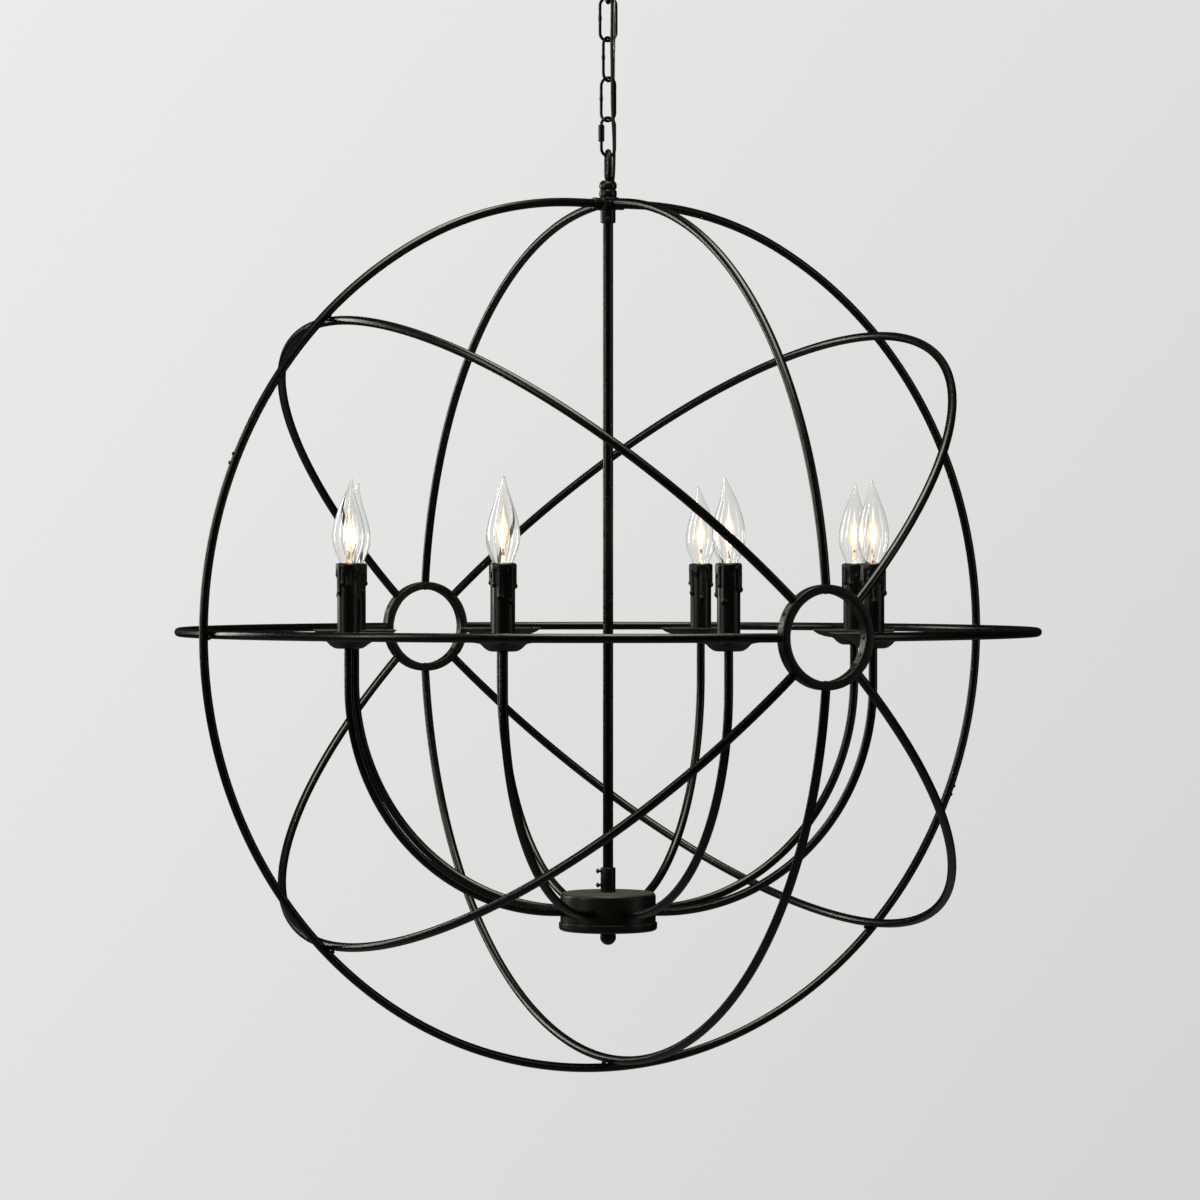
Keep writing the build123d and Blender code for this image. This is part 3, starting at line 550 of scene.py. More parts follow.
def split_route(points, heights):
    """Stretches of a route between heights, ending exactly on them."""
    stretches, current = [], [points[0]]
    cuts = list(heights)
    for before, after in zip(points, points[1:]):
        while cuts and before.z > cuts[0] >= after.z:
            spot = before.lerp(after, (before.z - cuts[0]) / (before.z - after.z))
            current.append(spot)
            stretches.append(current)
            current = [spot]
            cuts.pop(0)
        if (after - current[-1]).length > 1e-4:
            current.append(after)
    stretches.append(current)
    return stretches


def hung_wire(name, stops, radius, mat, node):
    """Wire beside the chain, one piece for each joint that it crosses."""
    cuts = [(a + b) / 2 for a, b in zip(HINGES, HINGES[1:])]
    for number, stretch in enumerate(split_route(route_points(stops), cuts)):
        piece = Shape().add(*tube(stretch, radius, 12)).done(f"{name}_{number + 1}", mat)
        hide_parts(node)
        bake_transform(piece)


hung_wire("supply_cord", CORD_STOPS, 1.7, jacket, "supply_cord")
hung_wire("ground_wire", GROUND_STOPS, 0.9, bare_copper, "ground_wire")

# Orb frame, with its whole curved bars by their directions in degrees
BAR_SIDES = 20
HOOPS = {
    0: "hoop_right",
    45: "hoop_upper_right",
    135: "hoop_upper_left",
    180: "hoop_left",
    225: "hoop_lower_left",
    270: "hoop_bottom",
    315: "hoop_lower_right",
}
JOINT = 22.5  # joints of the face ring, in degrees from level
JOINT_SLIT = 0.03
CROWN = 63.0  # where the upper segments begin to flatten
CROWN_BEND = (HOOP - RING * sin(radians(CROWN))) / (1 - sin(radians(CROWN)))
BAR_END = 47.6  # where the curved bars end, just inside the hub rings' outer faces
LANDING = degrees(acos(BAR_END / HOOP))
TOP_LEVEL, TOP_BEND = 6.6, 24.0  # where the top bar levels out: in degrees, and in millimetres


def spoke(angle):
    """Direction out from the orb centre in the plane of the face ring, given in degrees."""
    return Vector((cos(radians(angle)), 0, sin(radians(angle))))


def hoop_point(angle, swing):
    """Point on a curved bar out along a spoke."""
    reach = HOOP * cos(swing)
    return (reach * cos(radians(angle)), HOOP * sin(swing), ORB_Z + reach * sin(radians(angle)))


def ring_point(angle, radius=RING):
    """Point on the face ring."""
    return (radius * cos(angle), 0.0, ORB_Z + radius * sin(angle))


def upper_path(joint):
    """Path of an upper ring segment on the +X side, from its joint up to the casting."""
    path = [ring_point(angle) for angle in arc(joint + JOINT_SLIT, CROWN, 70)]
    centre = Vector(ring_point(radians(CROWN), RING - CROWN_BEND))
    for angle in arc(CROWN, 90, 24)[1:]:
        path.append(tuple(centre + CROWN_BEND * Vector((cos(angle), 0, sin(angle)))))
    path.append((SOCKET_END, 0, CAST_Z))
    return path


def round_bar(path, name, node, place=None):
    """Bar or arm in the place of its solid."""
    metal(Shape().add(*tube(path, BAR, BAR_SIDES), place), name, bar_paint, "fixture", node)


for angle, node in HOOPS.items():
    round_bar([hoop_point(angle, swing) for swing in arc(-LANDING, LANDING, 120)],
              f"{node}_bar", node)
for side, node in ((-1, "hoop_top_front"), (1, "hoop_top_rear")):
    path = [hoop_point(90, side * -swing) for swing in arc(-LANDING, -TOP_LEVEL, 58)]
    path += bent(Vector(path[-1]), Vector((0, side * TOP_BEND, CAST_Z)),
                 Vector((0, side * SOCKET_END, CAST_Z)), 12)[1:]
    round_bar(path, f"{node}_bar", node)
round_bar(upper_path(-JOINT), "ring_upper_right_bar", "ring_upper_right")
round_bar([(-x, y, z) for x, y, z in upper_path(JOINT)], "ring_upper_left_bar", "ring_upper_left")
round_bar([ring_point(angle)
           for angle in arc(180 - JOINT + JOINT_SLIT, 360 - JOINT - JOINT_SLIT, 150)],
          "ring_lower_bar", "ring_lower")

# Hub rings: flat bands with eased edges
HUB_MIDDLE = (HUB_IN + HUB_OUT) / 2
band = rounded([(HUB_MIDDLE, -HUB_HALF), (HUB_OUT, -HUB_HALF), (HUB_OUT, HUB_HALF),
                (HUB_IN, HUB_HALF), (HUB_IN, -HUB_HALF), (HUB_MIDDLE, -HUB_HALF)],
               (1.2, 1.2, 1.0, 1.0))
for node, y in (("hub_ring_front", -HUB_Y), ("hub_ring_rear", HUB_Y)):
    face = Matrix.Translation((0, y, ORB_Z)) @ Matrix.Rotation(radians(90), 4, "X")
    metal(Shape().add(*lathe(band, 96), face), f"{node}_band", cast_paint, "fixture", node)


def band_plate(radius, thick, first, last, y):
    """Thin curved plate on a hub ring between two directions, in degrees."""
    section = ((radius, -5.0), (radius + thick, -4.6), (radius + thick, 4.6), (radius, 5.0))
    turns = arc(first, last, 16)
    verts = [(r * cos(a), y + w, ORB_Z + r * sin(a)) for a in turns for r, w in section]
    ends = [(3, 2, 1, 0), tuple(len(verts) - 4 + j for j in range(4))]
    return verts, skin(len(turns), 4) + ends


PLATE, PLATE_SINK = 0.9, 0.3  # plates of painted highlight on the hub rings, where the light from the left falls: thickness, and depth in the ring
highlight_plates = Shape()
for y in (-HUB_Y, HUB_Y):
    for first, last in ((141.0, 164.0), (-37.0, -9.0)):
        highlight_plates.add(*band_plate(HUB_OUT - PLATE_SINK, PLATE, first, last, y))
    for first, last in ((-37.0, -7.0), (141.0, 172.0)):
        highlight_plates.add(*band_plate(HUB_IN + PLATE_SINK, -PLATE, first, last, y))
metal(highlight_plates, "hub_ring_plates", highlight_paint, "fixture")

# Screws inside the hub rings, through their plates of painted highlight, and at the joints of the
# face ring
screws = Shape()
for angle in range(0, 360, 45):
    out = spoke(angle)
    for y in (-HUB_Y, HUB_Y):
        middle = Vector((0, y, ORB_Z))
        screws.add(*screw_head(2.4, 0.8), out_from(out * HUB_IN + middle, -out))
for angle in (154.0, -24.0):
    out = spoke(angle)
    for y in (-HUB_Y, HUB_Y):
        middle = Vector((0, y, ORB_Z))
        screws.add(*screw_head(2.3, 1.5), out_from(out * (HUB_OUT + 0.5) + middle, out))
        screws.add(*screw_head(2.3, 1.0), out_from(out * (HUB_IN - 0.5) + middle, -out))
for joint in (180 - JOINT, -JOINT):
    for step in (-0.62, 0.62):
        out = spoke(joint + step)
        spot = out * (RING + BAR) + Vector((0, 0, ORB_Z))
        screws.add(*screw_head(1.9, 1.6), out_from(spot, out))
metal(screws, "frame_screws", screw_paint, "fixture")

# Welds in the corners where the curved bars cross the face ring
WELD_R, WELD_HALF, WELD_OFFSET = 2.3, 1.5, 3.2
weld_bead = [(0.0, -WELD_HALF)]
weld_bead += [(WELD_R * cos(a), WELD_HALF * sin(a)) for a in arc(-75, 75, 10)]
weld_bead += [(0.0, WELD_HALF)]
welds = Shape()
for angle in HOOPS:
    out = spoke(angle)
    along = Vector((-out.z, 0, out.x))
    for side in (WELD_OFFSET, -WELD_OFFSET):
        spot = out * (HOOP + BAR) + along * side + Vector((0, -side, ORB_Z))
        welds.add(*lathe(weld_bead, 14), out_from(spot, out))
metal(welds, "ring_welds", cast_paint, "fixture")

# Top casting: coupler for the stem, block with four bar sockets, and lower bead
CAST_R, CAST_HALF, BEAD_R = 9.0, 6.0, 8.75
BEAD_LOW, BEAD_HIGH = CAST_Z + CAST_HALF, CAST_Z + 14.0
STUB_R, STUB_REACH = 5.75, 17.0
casting = rounded([(SOCKET_BORE, CAST_Z - 19.0), (COUPLER_R, CAST_Z - 19.0),
                   (COUPLER_R, CAST_Z - CAST_HALF), (CAST_R, CAST_Z - CAST_HALF),
                   (CAST_R, BEAD_LOW), (7.4, BEAD_LOW + 0.5), (BEAD_R, BEAD_LOW + 1.6),
                   (BEAD_R, BEAD_HIGH - 1.4), (7.2, BEAD_HIGH), (4.9, BEAD_HIGH)],
                  (0.8, 0.8, 0.9, 1.2, 0.5, 1.6, 1.6, 0.8))
hub = Shape().add(*lathe(casting))
stub = rounded([(4.4, STUB_REACH), (STUB_R, STUB_REACH), (STUB_R, 5.0), (4.0, 5.0)], (0.9, 0.3))
for turn in (0, 90, 180, 270):
    direction = Vector((cos(radians(turn)), sin(radians(turn)), 0))
    hub.add(*lathe(stub, 40), out_from(Vector((0, 0, CAST_Z)), direction))
metal(hub, "top_casting", cast_paint, "fixture", "top_hub")

# Set screws of the coupler and, standing out on shanks, of the stem collar
COUPLER_SCREW_TURN, COLLAR_SCREW_TURN = radians(-117.8), radians(152.0)
SHANK_R, SHANK_OUT = 1.5, 2.4
shank = rounded([(0.0, -0.5), (SHANK_R, -0.5), (SHANK_R, SHANK_OUT), (0.0, SHANK_OUT)], (0.1, 0.1))
out = Vector((cos(COUPLER_SCREW_TURN), sin(COUPLER_SCREW_TURN), 0))
left = Vector((cos(COLLAR_SCREW_TURN), sin(COLLAR_SCREW_TURN), 0))
set_screws = Shape()
set_screws.add(*screw_head(2.2, 1.2), out_from(out * 7.4 + Vector((0, 0, CAST_Z - 15.4)), out))
for drop in (3.5, 17.5):
    spot = left * 7.3 + Vector((0, 0, STEM_COLLAR_TOP - drop))
    set_screws.add(*lathe(shank, 20), out_from(spot, left))
    set_screws.add(*screw_head(2.5, 2.4), out_from(spot + left * 2.3, left))
metal(set_screws, "set_screws", screw_paint, "fixture")

# Top eye loop on the upper bead
EYE_WIRE, EYE_LEG, EYE_SINK = 2.65, 9.65, 1.25
UPPER_HIGH = BEAD_HIGH + 9.0
EYE_TOP, EYE_LOW = BEAD_HIGH + 37.75, UPPER_HIGH - EYE_SINK + EYE_WIRE
upper_bead = rounded([(4.6, BEAD_HIGH), (7.3, BEAD_HIGH), (BEAD_R, BEAD_HIGH + 1.6),
                      (BEAD_R, UPPER_HIGH - 3.2), (6.2, UPPER_HIGH), (0.0, UPPER_HIGH + 0.2)],
                     (0.8, 1.6, 2.4, 1.2))
eye = Shape().add(*lathe(upper_bead))
eye.add(*tube(oval((EYE_TOP - EYE_LOW) / 2, EYE_LEG, 18), EYE_WIRE, 18, True),
        placed(z=(EYE_TOP + EYE_LOW) / 2, turn=CHAIN_TURN - 82.0))
metal(eye, "top_eye", cast_paint, "fixture", "top_loop")

# Chain links, thicker at their welds
LINK_WIRE, LINK_HALF, LINK_LEG = 1.5, 21.5, 8.1
LINK_WELD = Vector((-LINK_LEG, 0, 1.0))
WELD_RISE, WELD_SPREAD = 0.45, 1.7
LINKS = ((CHAIN_TURN - 10.0, -56.3), (CHAIN_TURN + 55.0, -96.0), (CHAIN_TURN - 33.0, -135.7))
link = oval(LINK_HALF, LINK_LEG, 18, 16)
link_radii = [LINK_WIRE + WELD_RISE * exp(-((Vector(p) - LINK_WELD).length / WELD_SPREAD) ** 2)
              for p in link]
for number, (turn, top) in enumerate(LINKS, start=1):
    wire = Shape().add(*tube(link, link_radii, 16, True), placed(z=top - LINK_HALF, turn=turn))
    body = f"chain_link_{number}"
    metal(wire, f"chain_link_{number}_wire", chain_paint, body, body)

# Quick link, open in its left leg inside the grooved sleeve
QUICK_Z, QUICK_TURN = -194.45, CHAIN_TURN + 28.0
QUICK_HALF, QUICK_LEG, SLEEVE_RISE = 19.05, 7.5, 3.3
quick = oval(QUICK_HALF, QUICK_LEG, 18, 16)
gap = [k for k, p in enumerate(quick) if p[0] < 0.1 - QUICK_LEG and 5.6 < p[2] < 9.6]
open_path = quick[max(gap) + 1:] + quick[:min(gap)]
metal(Shape().add(*tube(open_path, LINK_WIRE, 16), placed(z=QUICK_Z, turn=QUICK_TURN)),
      "quick_link_wire", chain_paint, "quick_link", "quick_link")

sleeve = [(1.75, -8.35), (2.3, -8.35), (3.1, -7.4)]
sleeve += [(3.12 - 0.12 * (k % 2), -6.8 + 13.6 * k / 26) for k in range(27)]
sleeve += [(3.1, 7.4), (2.3, 8.35), (1.75, 8.35), (1.75, -8.35)]
on_leg = placed(z=QUICK_Z + SLEEVE_RISE, turn=QUICK_TURN) @ placed(x=-QUICK_LEG)
metal(Shape().add(*lathe(sleeve, 40), on_leg), "quick_link_nut", chain_paint,
      "quick_link_sleeve", "quick_link_sleeve")

# Canopy loop: cup with a threaded shank, and the eye that carries the chain
cup = rounded([(0.0, -38.5), (13.0, -38.5), (13.2, -20.0), (11.0, -20.0), (11.0, -32.0),
               (0.0, -32.0)], (2.0, 0.5, 0.5, 0.8))
thread = [(13.2 + 0.25 * (k % 2), -36.0 + 0.75 * k) for k in range(22)]
loop = Shape().add(*lathe(cup))
loop.add(*tube(oval(10.5, 10.5, 20, 1), 2.5, 18, True), placed(z=-50.1, turn=CHAIN_TURN - 95.0))
loop.add(*lathe([(12.9, -36.2)] + thread + [(12.9, -19.9)], 48))
metal(loop, "canopy_loop_ring", cast_paint, "ceiling_mount", "canopy_loop")

# Canopy: a spun dome with a flat seat and a short upright rim
RIM, RIM_HIGH, SEAT, DEEP = 63.5, 4.0, 22.0, 26.0
CANOPY_WALL, COLLAR_BORE = 1.2, 13.5
DOME_Z = (RIM ** 2 + RIM_HIGH ** 2 - SEAT ** 2 - DEEP ** 2) / (2 * (DEEP - RIM_HIGH))
DOME_R = sqrt(SEAT ** 2 + (DEEP + DOME_Z) ** 2)


def dome(radius, wall=0.0):
    """Point on the canopy's dome at a radius, a wall's thickness inside it."""
    return (radius, DOME_Z - sqrt((DOME_R - wall) ** 2 - radius ** 2))


outer = [(COLLAR_BORE, -DEEP), (SEAT - 1.5, -DEEP)]
outer += [dome(SEAT + 40.5 * k / 20) for k in range(21)]
outer += [(RIM - 0.2, -RIM_HIGH + 0.1), (RIM, -RIM_HIGH + 1.2), (RIM, -0.6), (RIM - 0.6, 0.0),
          (RIM - 1.2, -0.2)]
inner = [dome(61 - 39 * k / 16, CANOPY_WALL) for k in range(17)]
inner += [(COLLAR_BORE, -DEEP + CANOPY_WALL), (COLLAR_BORE, -DEEP)]
metal(Shape().add(*lathe(outer + inner, 96)), "canopy_dome", body_paint, "canopy", "canopy")

# Collar ring with a ribbed edge
RIBS = 36
collar = rounded([(COLLAR_BORE, -35.0), (16.4, -35.0), (18.4, -33.4), (19.0, -32.6), (19.0, -27.6),
                  (18.2, -26.2), (COLLAR_BORE, -26.0), (COLLAR_BORE, -35.0)],
                 (0.4, 0.6, 0.6, 0.8, 0.6, 0.2))
rib = lathe([(0.0, -2.3), (0.45, -2.0), (0.45, 2.0), (0.0, 2.3)], 8)
knurl = Shape().add(*lathe(collar, 72))
for k in range(RIBS):
    knurl.add(*rib, placed(turn=360.0 * k / RIBS) @ placed(x=18.85, z=-30.1))
metal(knurl, "collar_knurl", body_paint, "canopy", "collar_ring")

# Stem and its collar on the body
STEM_R, STEM_BORE, STEM_TOP = 5.15, 3.5, CAST_Z - 3.3
pipe = rounded([(STEM_BORE, STEM_BOTTOM), (STEM_R, STEM_BOTTOM), (STEM_R, STEM_TOP),
                (STEM_BORE, STEM_TOP)], (0.3, 0.3))
metal(Shape().add(*lathe(pipe, 40)), "stem_pipe", bar_paint, "fixture", "stem")
socket = rounded([(SOCKET_BORE, BODY_TOP), (COUPLER_R, BODY_TOP), (COUPLER_R, STEM_COLLAR_TOP),
                  (SOCKET_BORE, STEM_COLLAR_TOP), (SOCKET_BORE, STEM_COLLAR_TOP - 4.0)],
                 (0.2, 1.1, 0.5))
metal(Shape().add(*lathe(socket, 48)), "stem_socket", cast_paint, "fixture", "stem_collar")

# Body: shell, cover and ball finial
BODY_R, COVER_R, BALL_R = 47.5, 49.0, 8.0
shell = rounded([(0.0, BODY_TOP - 1.0), (7.0, BODY_TOP), (44.8, BODY_TOP), (BODY_R, BODY_TOP - 2.6),
                 (BODY_R, COVER_BOTTOM + 7.0), (45.9, COVER_BOTTOM + 3.0),
                 (0.0, COVER_BOTTOM + 3.0)], (0.5, 1.4, 2.0, 0.3, 0.5), 5)
metal(Shape().add(*lathe(shell, 128)), "body_shell", body_paint, "fixture", "body_pan")
lid = rounded([(0.0, COVER_BOTTOM), (46.2, COVER_BOTTOM), (48.8, COVER_BOTTOM + 1.8),
               (COVER_R, COVER_BOTTOM + 8.0), (47.8, COVER_BOTTOM + 8.0),
               (47.8, COVER_BOTTOM + 2.0), (0.0, COVER_BOTTOM + 2.0)],
              (2.0, 1.5, 0.5, 0.3, 0.5), 5)
metal(Shape().add(*lathe(lid, 128)), "body_lid", body_paint, "fixture", "body_cover")
ball = [(0.0, -BALL_R)] + [(BALL_R * cos(a), BALL_R * sin(a)) for a in arc(-84, 52, 26)]
ball += [(4.6, 6.6), (4.6, 7.6), (0.0, 7.6)]
metal(Shape().add(*lathe(ball, 48), placed(z=COVER_BOTTOM - 6.6)), "finial_ball", cast_paint,
      "fixture", "finial")

# Arms: straight out of the body, a quarter bend, and up to the drip pan
ARM_BEND = LAMP_R - COVER_R
path = [(42.0, 0, ARM_Z), (45.5, 0, ARM_Z)]
path += [(COVER_R + ARM_BEND * sin(a), 0, ARM_Z + ARM_BEND * (1 - cos(a))) for a in arc(0, 90, 48)]
path.append((LAMP_R, 0, PAN_Z + 0.4))
for number, turn in enumerate(LAMP_TURNS, start=1):
    round_bar(path, f"arm_{number}_tube", f"arm_{number}", placed(turn=turn))

# Drip pans, with thin light-brown wires round their rims: painted glints
RIM_R, RIM_Z, RIM_WIRE = 42.15, 14.95, 0.4
dish = lathe([(0.0, 0.0), (11.5, 0.0), (14.5, 0.8), (18.0, 3.2), (20.8, 6.2), (22.6, 7.2),
              (30.0, 8.4), (36.5, 10.6), (40.6, 13.2), (42.2, 14.7), (42.5, 15.0), (41.9, 15.1),
              (40.0, 13.9), (36.0, 11.6), (30.0, 9.5), (22.3, 8.3), (20.0, 7.2), (17.4, 4.4),
              (14.0, 1.9), (11.0, 1.2), (0.0, 1.2)], 72)
edge = tube([(RIM_R * cos(a), RIM_R * sin(a), RIM_Z) for a in arc(0, 355, 71)], RIM_WIRE, 6, True)
pans, rim_glints = Shape(), Shape()
for turn in LAMP_TURNS:
    on_arm = placed(turn=turn) @ placed(x=LAMP_R, z=PAN_Z)
    pans.add(*dish, on_arm)
    rim_glints.add(*edge, on_arm)
metal(pans, "drip_dishes", pan_paint, "fixture", "drip_pans")
metal(rim_glints, "drip_rims", highlight_paint, "fixture")

# Candle sleeves with runs of wax: direction in degrees, length, half width and thickness
RUNS = (
    (0.0, 38.0, 2.5, 2.6), (30.0, 15.0, 1.7, 1.9), (62.0, 23.0, 2.0, 2.2), (95.0, 31.0, 2.4, 2.5),
    (130.0, 13.0, 1.8, 1.9), (160.0, 35.0, 2.3, 2.5), (190.0, 19.0, 1.9, 2.1),
    (222.0, 27.0, 2.2, 2.4), (254.0, 14.0, 1.7, 1.9), (286.0, 36.0, 2.4, 2.6),
    (325.0, 20.0, 2.0, 2.2))
SLEEVE_R, SLEEVE_SIDES = 11.0, 96
COLLAR_WAX, TOP_EASE = 1.5, 1.5
HEM, HEM_SCALLOP, HEM_WAVE = 4.6, 8.5, 1.2  # lower edge of the wax collar, below the top
RUN_SHORTEST, RUN_SPREAD = 0.82, 0.30  # how the runs' lengths differ from sleeve to sleeve
SLEEVE_DROPS = ([0.0, 0.12, 0.35, 0.7] + [1.2 + 0.72 * k for k in range(58)]
                + [46.0, 52.0, 60.0, 70.0, 81.4])


def wax(theta, drop, shift):
    """Thickness of wax on a sleeve at a direction and a depth below the top."""
    scallop = 1 - abs(sin(2.5 * theta + shift))
    hem = HEM + HEM_SCALLOP * scallop + HEM_WAVE * sin(3 * theta + 2.1 * shift)
    fade = min(max((hem + 0.9 - drop) / 1.5, 0.0), 1.0)
    thick = COLLAR_WAX * fade * fade * (3 - 2 * fade)
    for number, (turn, length, width, height) in enumerate(RUNS):
        share = 0.5 + 0.5 * sin(shift * 1.7 + number * 2.4)
        length = length * (RUN_SHORTEST + RUN_SPREAD * share)
        away = (theta - radians(turn) - 0.12 * sin(shift + number) + pi) % (2 * pi) - pi
        across = SLEEVE_R * away
        end = length - width
        along = max(0.0, drop - end)
        near = 1 - (across * across + along * along) / (width * width)
        blob = 1 - (across * across + (drop - end) ** 2) / (1.25 * width) ** 2
        if near > 0:
            thick = max(thick, height * 0.66 * sqrt(near))
        if blob > 0:
            thick = max(thick, height * 1.02 * sqrt(blob))
    return thick


def candle(shift):
    """One candle sleeve about Z, from inside its bore over its top and down, with its own wax."""
    turns = [2 * pi * k / SLEEVE_SIDES for k in range(SLEEVE_SIDES)]
    rings = [([radius] * SLEEVE_SIDES, height)
             for radius, height in ((9.75, -14.0), (9.8, -0.5), (10.2, 0.1))]
    for drop in SLEEVE_DROPS:
        ease = TOP_EASE * (1 - min(drop / 2.0, 1.0)) ** 2
        rings.append(([SLEEVE_R + wax(turn, drop, shift) - ease for turn in turns], -drop))
    verts = [(radius * cos(turn), radius * sin(turn), height)
             for radii, height in rings for radius, turn in zip(radii, turns)]
    return verts, skin(len(rings), SLEEVE_SIDES)


sleeves = Shape()
for number, turn in enumerate(LAMP_TURNS):
    on_pan = placed(turn=turn) @ placed(x=LAMP_R, z=SLEEVE_TOP, turn=53.0 * number)
    sleeves.add(*candle(0.9 * number), on_pan)
finish_piece(sleeves.done("wax_sleeves", candle_paint, 60.0), "fixture", "candle_black",
             "candle_sleeves")

# Bulbs: radius and height above the orb centre of the glass, its mount and the glow inside
OUTLINE = (
    (7.4, 58.4), (7.7, 63.0), (8.6, 67.6), (10.6, 73.0), (13.0, 79.0), (14.9, 85.5), (15.6, 92.0),
    (15.3, 99.0), (14.0, 106.5), (11.9, 114.5), (9.3, 122.5), (6.7, 130.0), (4.4, 136.5),
    (2.7, 142.0), (1.6, 146.0), (0.9, 148.0), (0.0, 148.6))
MOUNT = (
    (4.6, 58.5), (4.0, 61.0), (2.9, 66.0), (1.8, 71.0), (1.2, 76.0), (1.5, 80.0), (1.1, 84.0),
    (0.0, 85.0))
CORE = (
    (0.0, 89.0), (1.5, 91.0), (2.5, 94.5), (2.5, 98.5), (1.6, 102.5), (0.7, 106.0), (0.3, 113.0),
    (0.0, 121.0))
WARM = (
    (0.0, 85.5), (2.2, 88.0), (3.9, 92.5), (4.0, 98.0), (2.8, 103.5), (1.1, 108.0), (0.5, 115.0),
    (0.0, 123.0))
HALO = (
    (0.0, 81.0), (3.2, 84.5), (5.5, 90.5), (5.8, 98.0), (4.3, 105.5), (2.0, 112.0), (0.8, 120.0),
    (0.0, 126.0))
GLASS_WALL = 0.5
TIP_START, TIP_LENGTH, TIP_LEAN = 118.0, 30.0, 4.2
FILAMENT_Z, FILAMENT_RISE, FILAMENT_HALF = 95.0, 8.0, 3.4
COIL_R, COIL_TURNS, COIL_STEPS = 0.45, 14, 120


def lean(height):
    """Sideways bend of the tip at a height."""
    return TIP_LEAN * max(0.0, (height - TIP_START) / TIP_LENGTH) ** 2


def smooth_outline(points, steps=4):
    """Outline with points between its own, on a smooth line."""
    out = []
    for k in range(len(points) - 1):
        p0 = Vector(points[max(k - 1, 0)])
        p1, p2 = Vector(points[k]), Vector(points[k + 1])
        p3 = Vector(points[min(k + 2, len(points) - 1)])
        for step in range(steps):
            t = step / steps
            spot = 0.5 * (2 * p1 + (p2 - p0) * t + (2 * p0 - 5 * p1 + 4 * p2 - p3) * t ** 2
                          + (3 * p1 - p0 - 3 * p2 + p3) * t ** 3)
            out.append((max(spot.x, 0.0), spot.y))
    out.append(points[-1])
    return out


def glass_envelope():
    """Hollow glass with its tip bent to one side."""
    outside = smooth_outline(OUTLINE, 6)
    inside = [(max(r - GLASS_WALL, 0.0), h - GLASS_WALL * max(0.0, 1.0 - r / 3.0))
              for r, h in outside]
    verts, faces = lathe(outside + inside[::-1] + [outside[0]], 72)
    return [(x + lean(z), y, z) for x, y, z in verts], faces


def screw_cap():
    """Screw cap with its contact and rounds of thread."""
    profile = [(0.0, 37.4), (2.4, 37.4), (3.0, 38.6), (5.0, 39.6)]
    profile += [(5.95 - 0.5 * (k % 2), 40.4 + 1.2 * k) for k in range(12)]
    profile += [(5.95, 55.0), (5.95, 56.3), (8.0, 56.6), (8.0, 58.2), (0.0, 58.3)]
    return lathe(profile, 40)


def filament(place):
    """Two lead wires and the coiled wire arched between them."""
    shape = Shape()
    for side in (1, -1):
        lead = [(side * 0.9, 0, 82.0), (side * 1.3, 0, 86.0), (side * 2.6, 0, 91.0),
                (side * FILAMENT_HALF, 0, FILAMENT_Z)]
        shape.add(*tube(lead, 0.3, 6), place)
    coil = []
    for k in range(COIL_STEPS + 1):
        t = k / COIL_STEPS
        turn = COIL_TURNS * 2 * pi * t
        coil.append((FILAMENT_HALF - 2 * FILAMENT_HALF * t + COIL_R * cos(turn),
                     COIL_R * sin(turn), FILAMENT_Z + FILAMENT_RISE * sin(pi * t)))
    return shape.add(*tube(coil, 0.34, 6), place)


envelope, cap = glass_envelope(), screw_cap()
mount = lathe(smooth_outline(MOUNT), 20)
flames = [("core", lathe(smooth_outline(CORE), 24), core_glow),
          ("warm", lathe(smooth_outline(WARM), 24), warm_glow),
          ("halo", lathe(smooth_outline(HALO), 24), halo_glow)]
for number, (turn, bulb_turn) in enumerate(zip(LAMP_TURNS, BULB_TURNS), start=1):
    bulb = f"bulb_{number}"
    spot = placed(turn=turn) @ Vector((LAMP_R, 0, 0))
    here = placed(spot.x, spot.y, ORB_Z, bulb_turn)
    piece = Shape().add(*envelope, here).done(f"bulb_{number}_glass", glass, 80.0)
    finish_piece(piece, bulb, "bulb_glass", bulb)
    inside = [("cap", Shape().add(*cap, here), cap_brass),
              ("mount", Shape().add(*mount, here), mount_glow),
              ("filament", filament(here), filament_glow)]
    inside += [(part, Shape().add(*flame, here), mat) for part, flame, mat in flames]
    for part, shape, mat in inside:
        finish_piece(shape.done(f"bulb_{number}_{part}", mat), bulb, "bulb_glass")

# Solids that stay as they are
for node in ("mounting_strap", "canopy_nipple", "strap_nut", "centre_tube"):
    dress(node, steel)
dress("lamp_holders", ceramic)

# Floor, in metres: pale to the eye, but dark for the light that it sends back to the part
FLOOR_Z, FLOOR_RADIUS, FLOOR_GLOW = -2.2, 6.0, 0.72
FADE_START, FADE_END = 0.35 * FLOOR_RADIUS, 0.95 * FLOOR_RADIUS


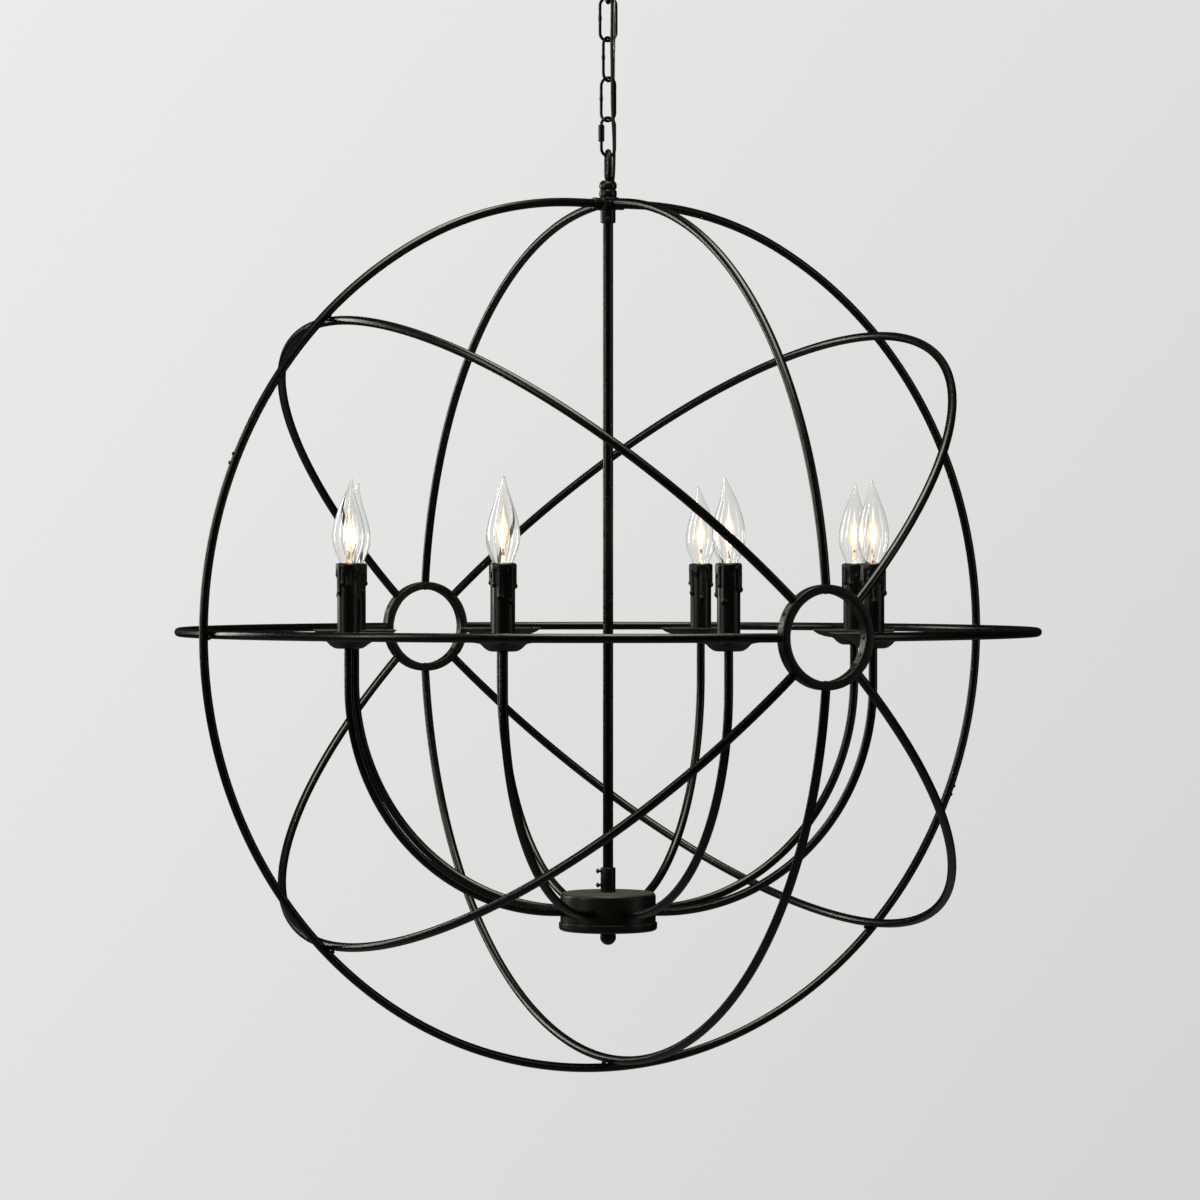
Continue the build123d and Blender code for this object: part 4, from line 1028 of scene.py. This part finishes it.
def floor_material():
    """Matt floor with a faint mottle, fading out towards its edge."""
    mat, tree, shader = material("pale_floor")
    pale = ramp(tree, noise(tree, 3.0), ((0.3, (0.80, 0.80, 0.79)), (0.7, (0.84, 0.84, 0.83))))
    dark = ramp(tree, noise(tree, 3.0), ((0.3, (0.19, 0.19, 0.19)), (0.7, (0.21, 0.21, 0.21))))
    tree.links.new(dark, shader.inputs["Base Color"])
    tree.links.new(pale, shader.inputs["Emission Color"])
    rays = tree.nodes.new("ShaderNodeLightPath")
    lift = calc(tree, "MULTIPLY", rays.outputs["Is Camera Ray"], FLOOR_GLOW)
    tree.links.new(lift, shader.inputs["Emission Strength"])
    shader.inputs["Roughness"].default_value = 0.9
    coords = tree.nodes.new("ShaderNodeTexCoord")
    away = tree.nodes.new("ShaderNodeVectorMath")
    away.operation = "LENGTH"
    tree.links.new(coords.outputs["Object"], away.inputs[0])
    fade = map_range(tree, away.outputs["Value"], FADE_START, FADE_END, 1.0, 0.0)
    fade.interpolation_type = "SMOOTHSTEP"
    tree.links.new(fade.outputs["Result"], shader.inputs["Alpha"])
    return mat


bpy.ops.mesh.primitive_circle_add(vertices=96, radius=FLOOR_RADIUS, fill_type="NGON",
                                  location=(0, 0, FLOOR_Z))
floor = bpy.context.object
floor.name = "floor"
floor.data.materials.append(floor_material())

# Backdrop seen behind the part, brighter to the upper left, and the soft light round it
SEEN, SOFT = 0.75, 0.010
SEEN_LOW, SEEN_HIGH = 0.86 * SEEN, 1.13 * SEEN
BRIGHTER = up * 0.38 - right * 0.48


def studio():
    """World with a bright backdrop to look at and a dim one for light."""
    world = bpy.data.worlds.new("studio")
    bpy.context.scene.world = world
    world.use_nodes = True
    tree = world.node_tree
    coords = tree.nodes.new("ShaderNodeTexCoord")
    tilt = tree.nodes.new("ShaderNodeVectorMath")
    tilt.operation = "DOT_PRODUCT"
    tilt.inputs[1].default_value = BRIGHTER
    tree.links.new(coords.outputs["Generated"], tilt.inputs[0])
    level = calc(tree, "MULTIPLY_ADD", tilt.outputs["Value"], SEEN, SEEN)
    level = calc(tree, "MINIMUM", calc(tree, "MAXIMUM", level, SEEN_LOW), SEEN_HIGH)
    seen = tree.nodes["Background"]
    seen.inputs["Color"].default_value = (1.0, 1.0, 0.985, 1.0)
    tree.links.new(level, seen.inputs["Strength"])
    soft = tree.nodes.new("ShaderNodeBackground")
    soft.inputs["Color"].default_value = (0.82, 0.90, 0.74, 1.0)
    soft.inputs["Strength"].default_value = SOFT
    rays = tree.nodes.new("ShaderNodeLightPath")
    looked_at = calc(tree, "MAXIMUM", rays.outputs["Is Camera Ray"],
                     rays.outputs["Is Transmission Ray"])
    mix = tree.nodes.new("ShaderNodeMixShader")
    tree.links.new(looked_at, mix.inputs["Fac"])
    tree.links.new(soft.outputs["Background"], mix.inputs[1])
    tree.links.new(seen.outputs["Background"], mix.inputs[2])
    tree.links.new(mix.outputs["Shader"], tree.nodes["World Output"].inputs["Surface"])


def softbox(name, spot, power, size, colour):
    """Area light aimed at the orb centre, from a spot to its right, towards the camera and up."""
    x, y, z = spot
    data = bpy.data.lights.new(name, "AREA")
    data.shape = "RECTANGLE"
    data.size, data.size_y = size
    data.energy = power
    data.color = colour
    light = bpy.data.objects.new(name, data)
    place = orb_centre + right * x + back * y + Vector((0, 0, z))
    facing = (orb_centre - place).to_track_quat("-Z", "Y").to_matrix().to_4x4()
    light.matrix_world = Matrix.Translation(place) @ facing
    light.visible_camera = False
    bpy.context.scene.collection.objects.link(light)


studio()
softbox("key_left", (-2.9, 1.5, 1.3), 44.0, (0.4, 2.6), (0.97, 1.0, 0.88))
softbox("fill_right", (3.0, 1.0, 0.6), 10.0, (0.4, 2.4), (0.97, 1.0, 0.88))
softbox("top", (0.0, 0.3, 2.5), 100.0, (1.2, 2.2), (0.98, 1.0, 0.88))
softbox("rim_left", (-2.6, -1.3, 0.6), 34.0, (0.5, 1.6), (0.98, 1.0, 0.92))
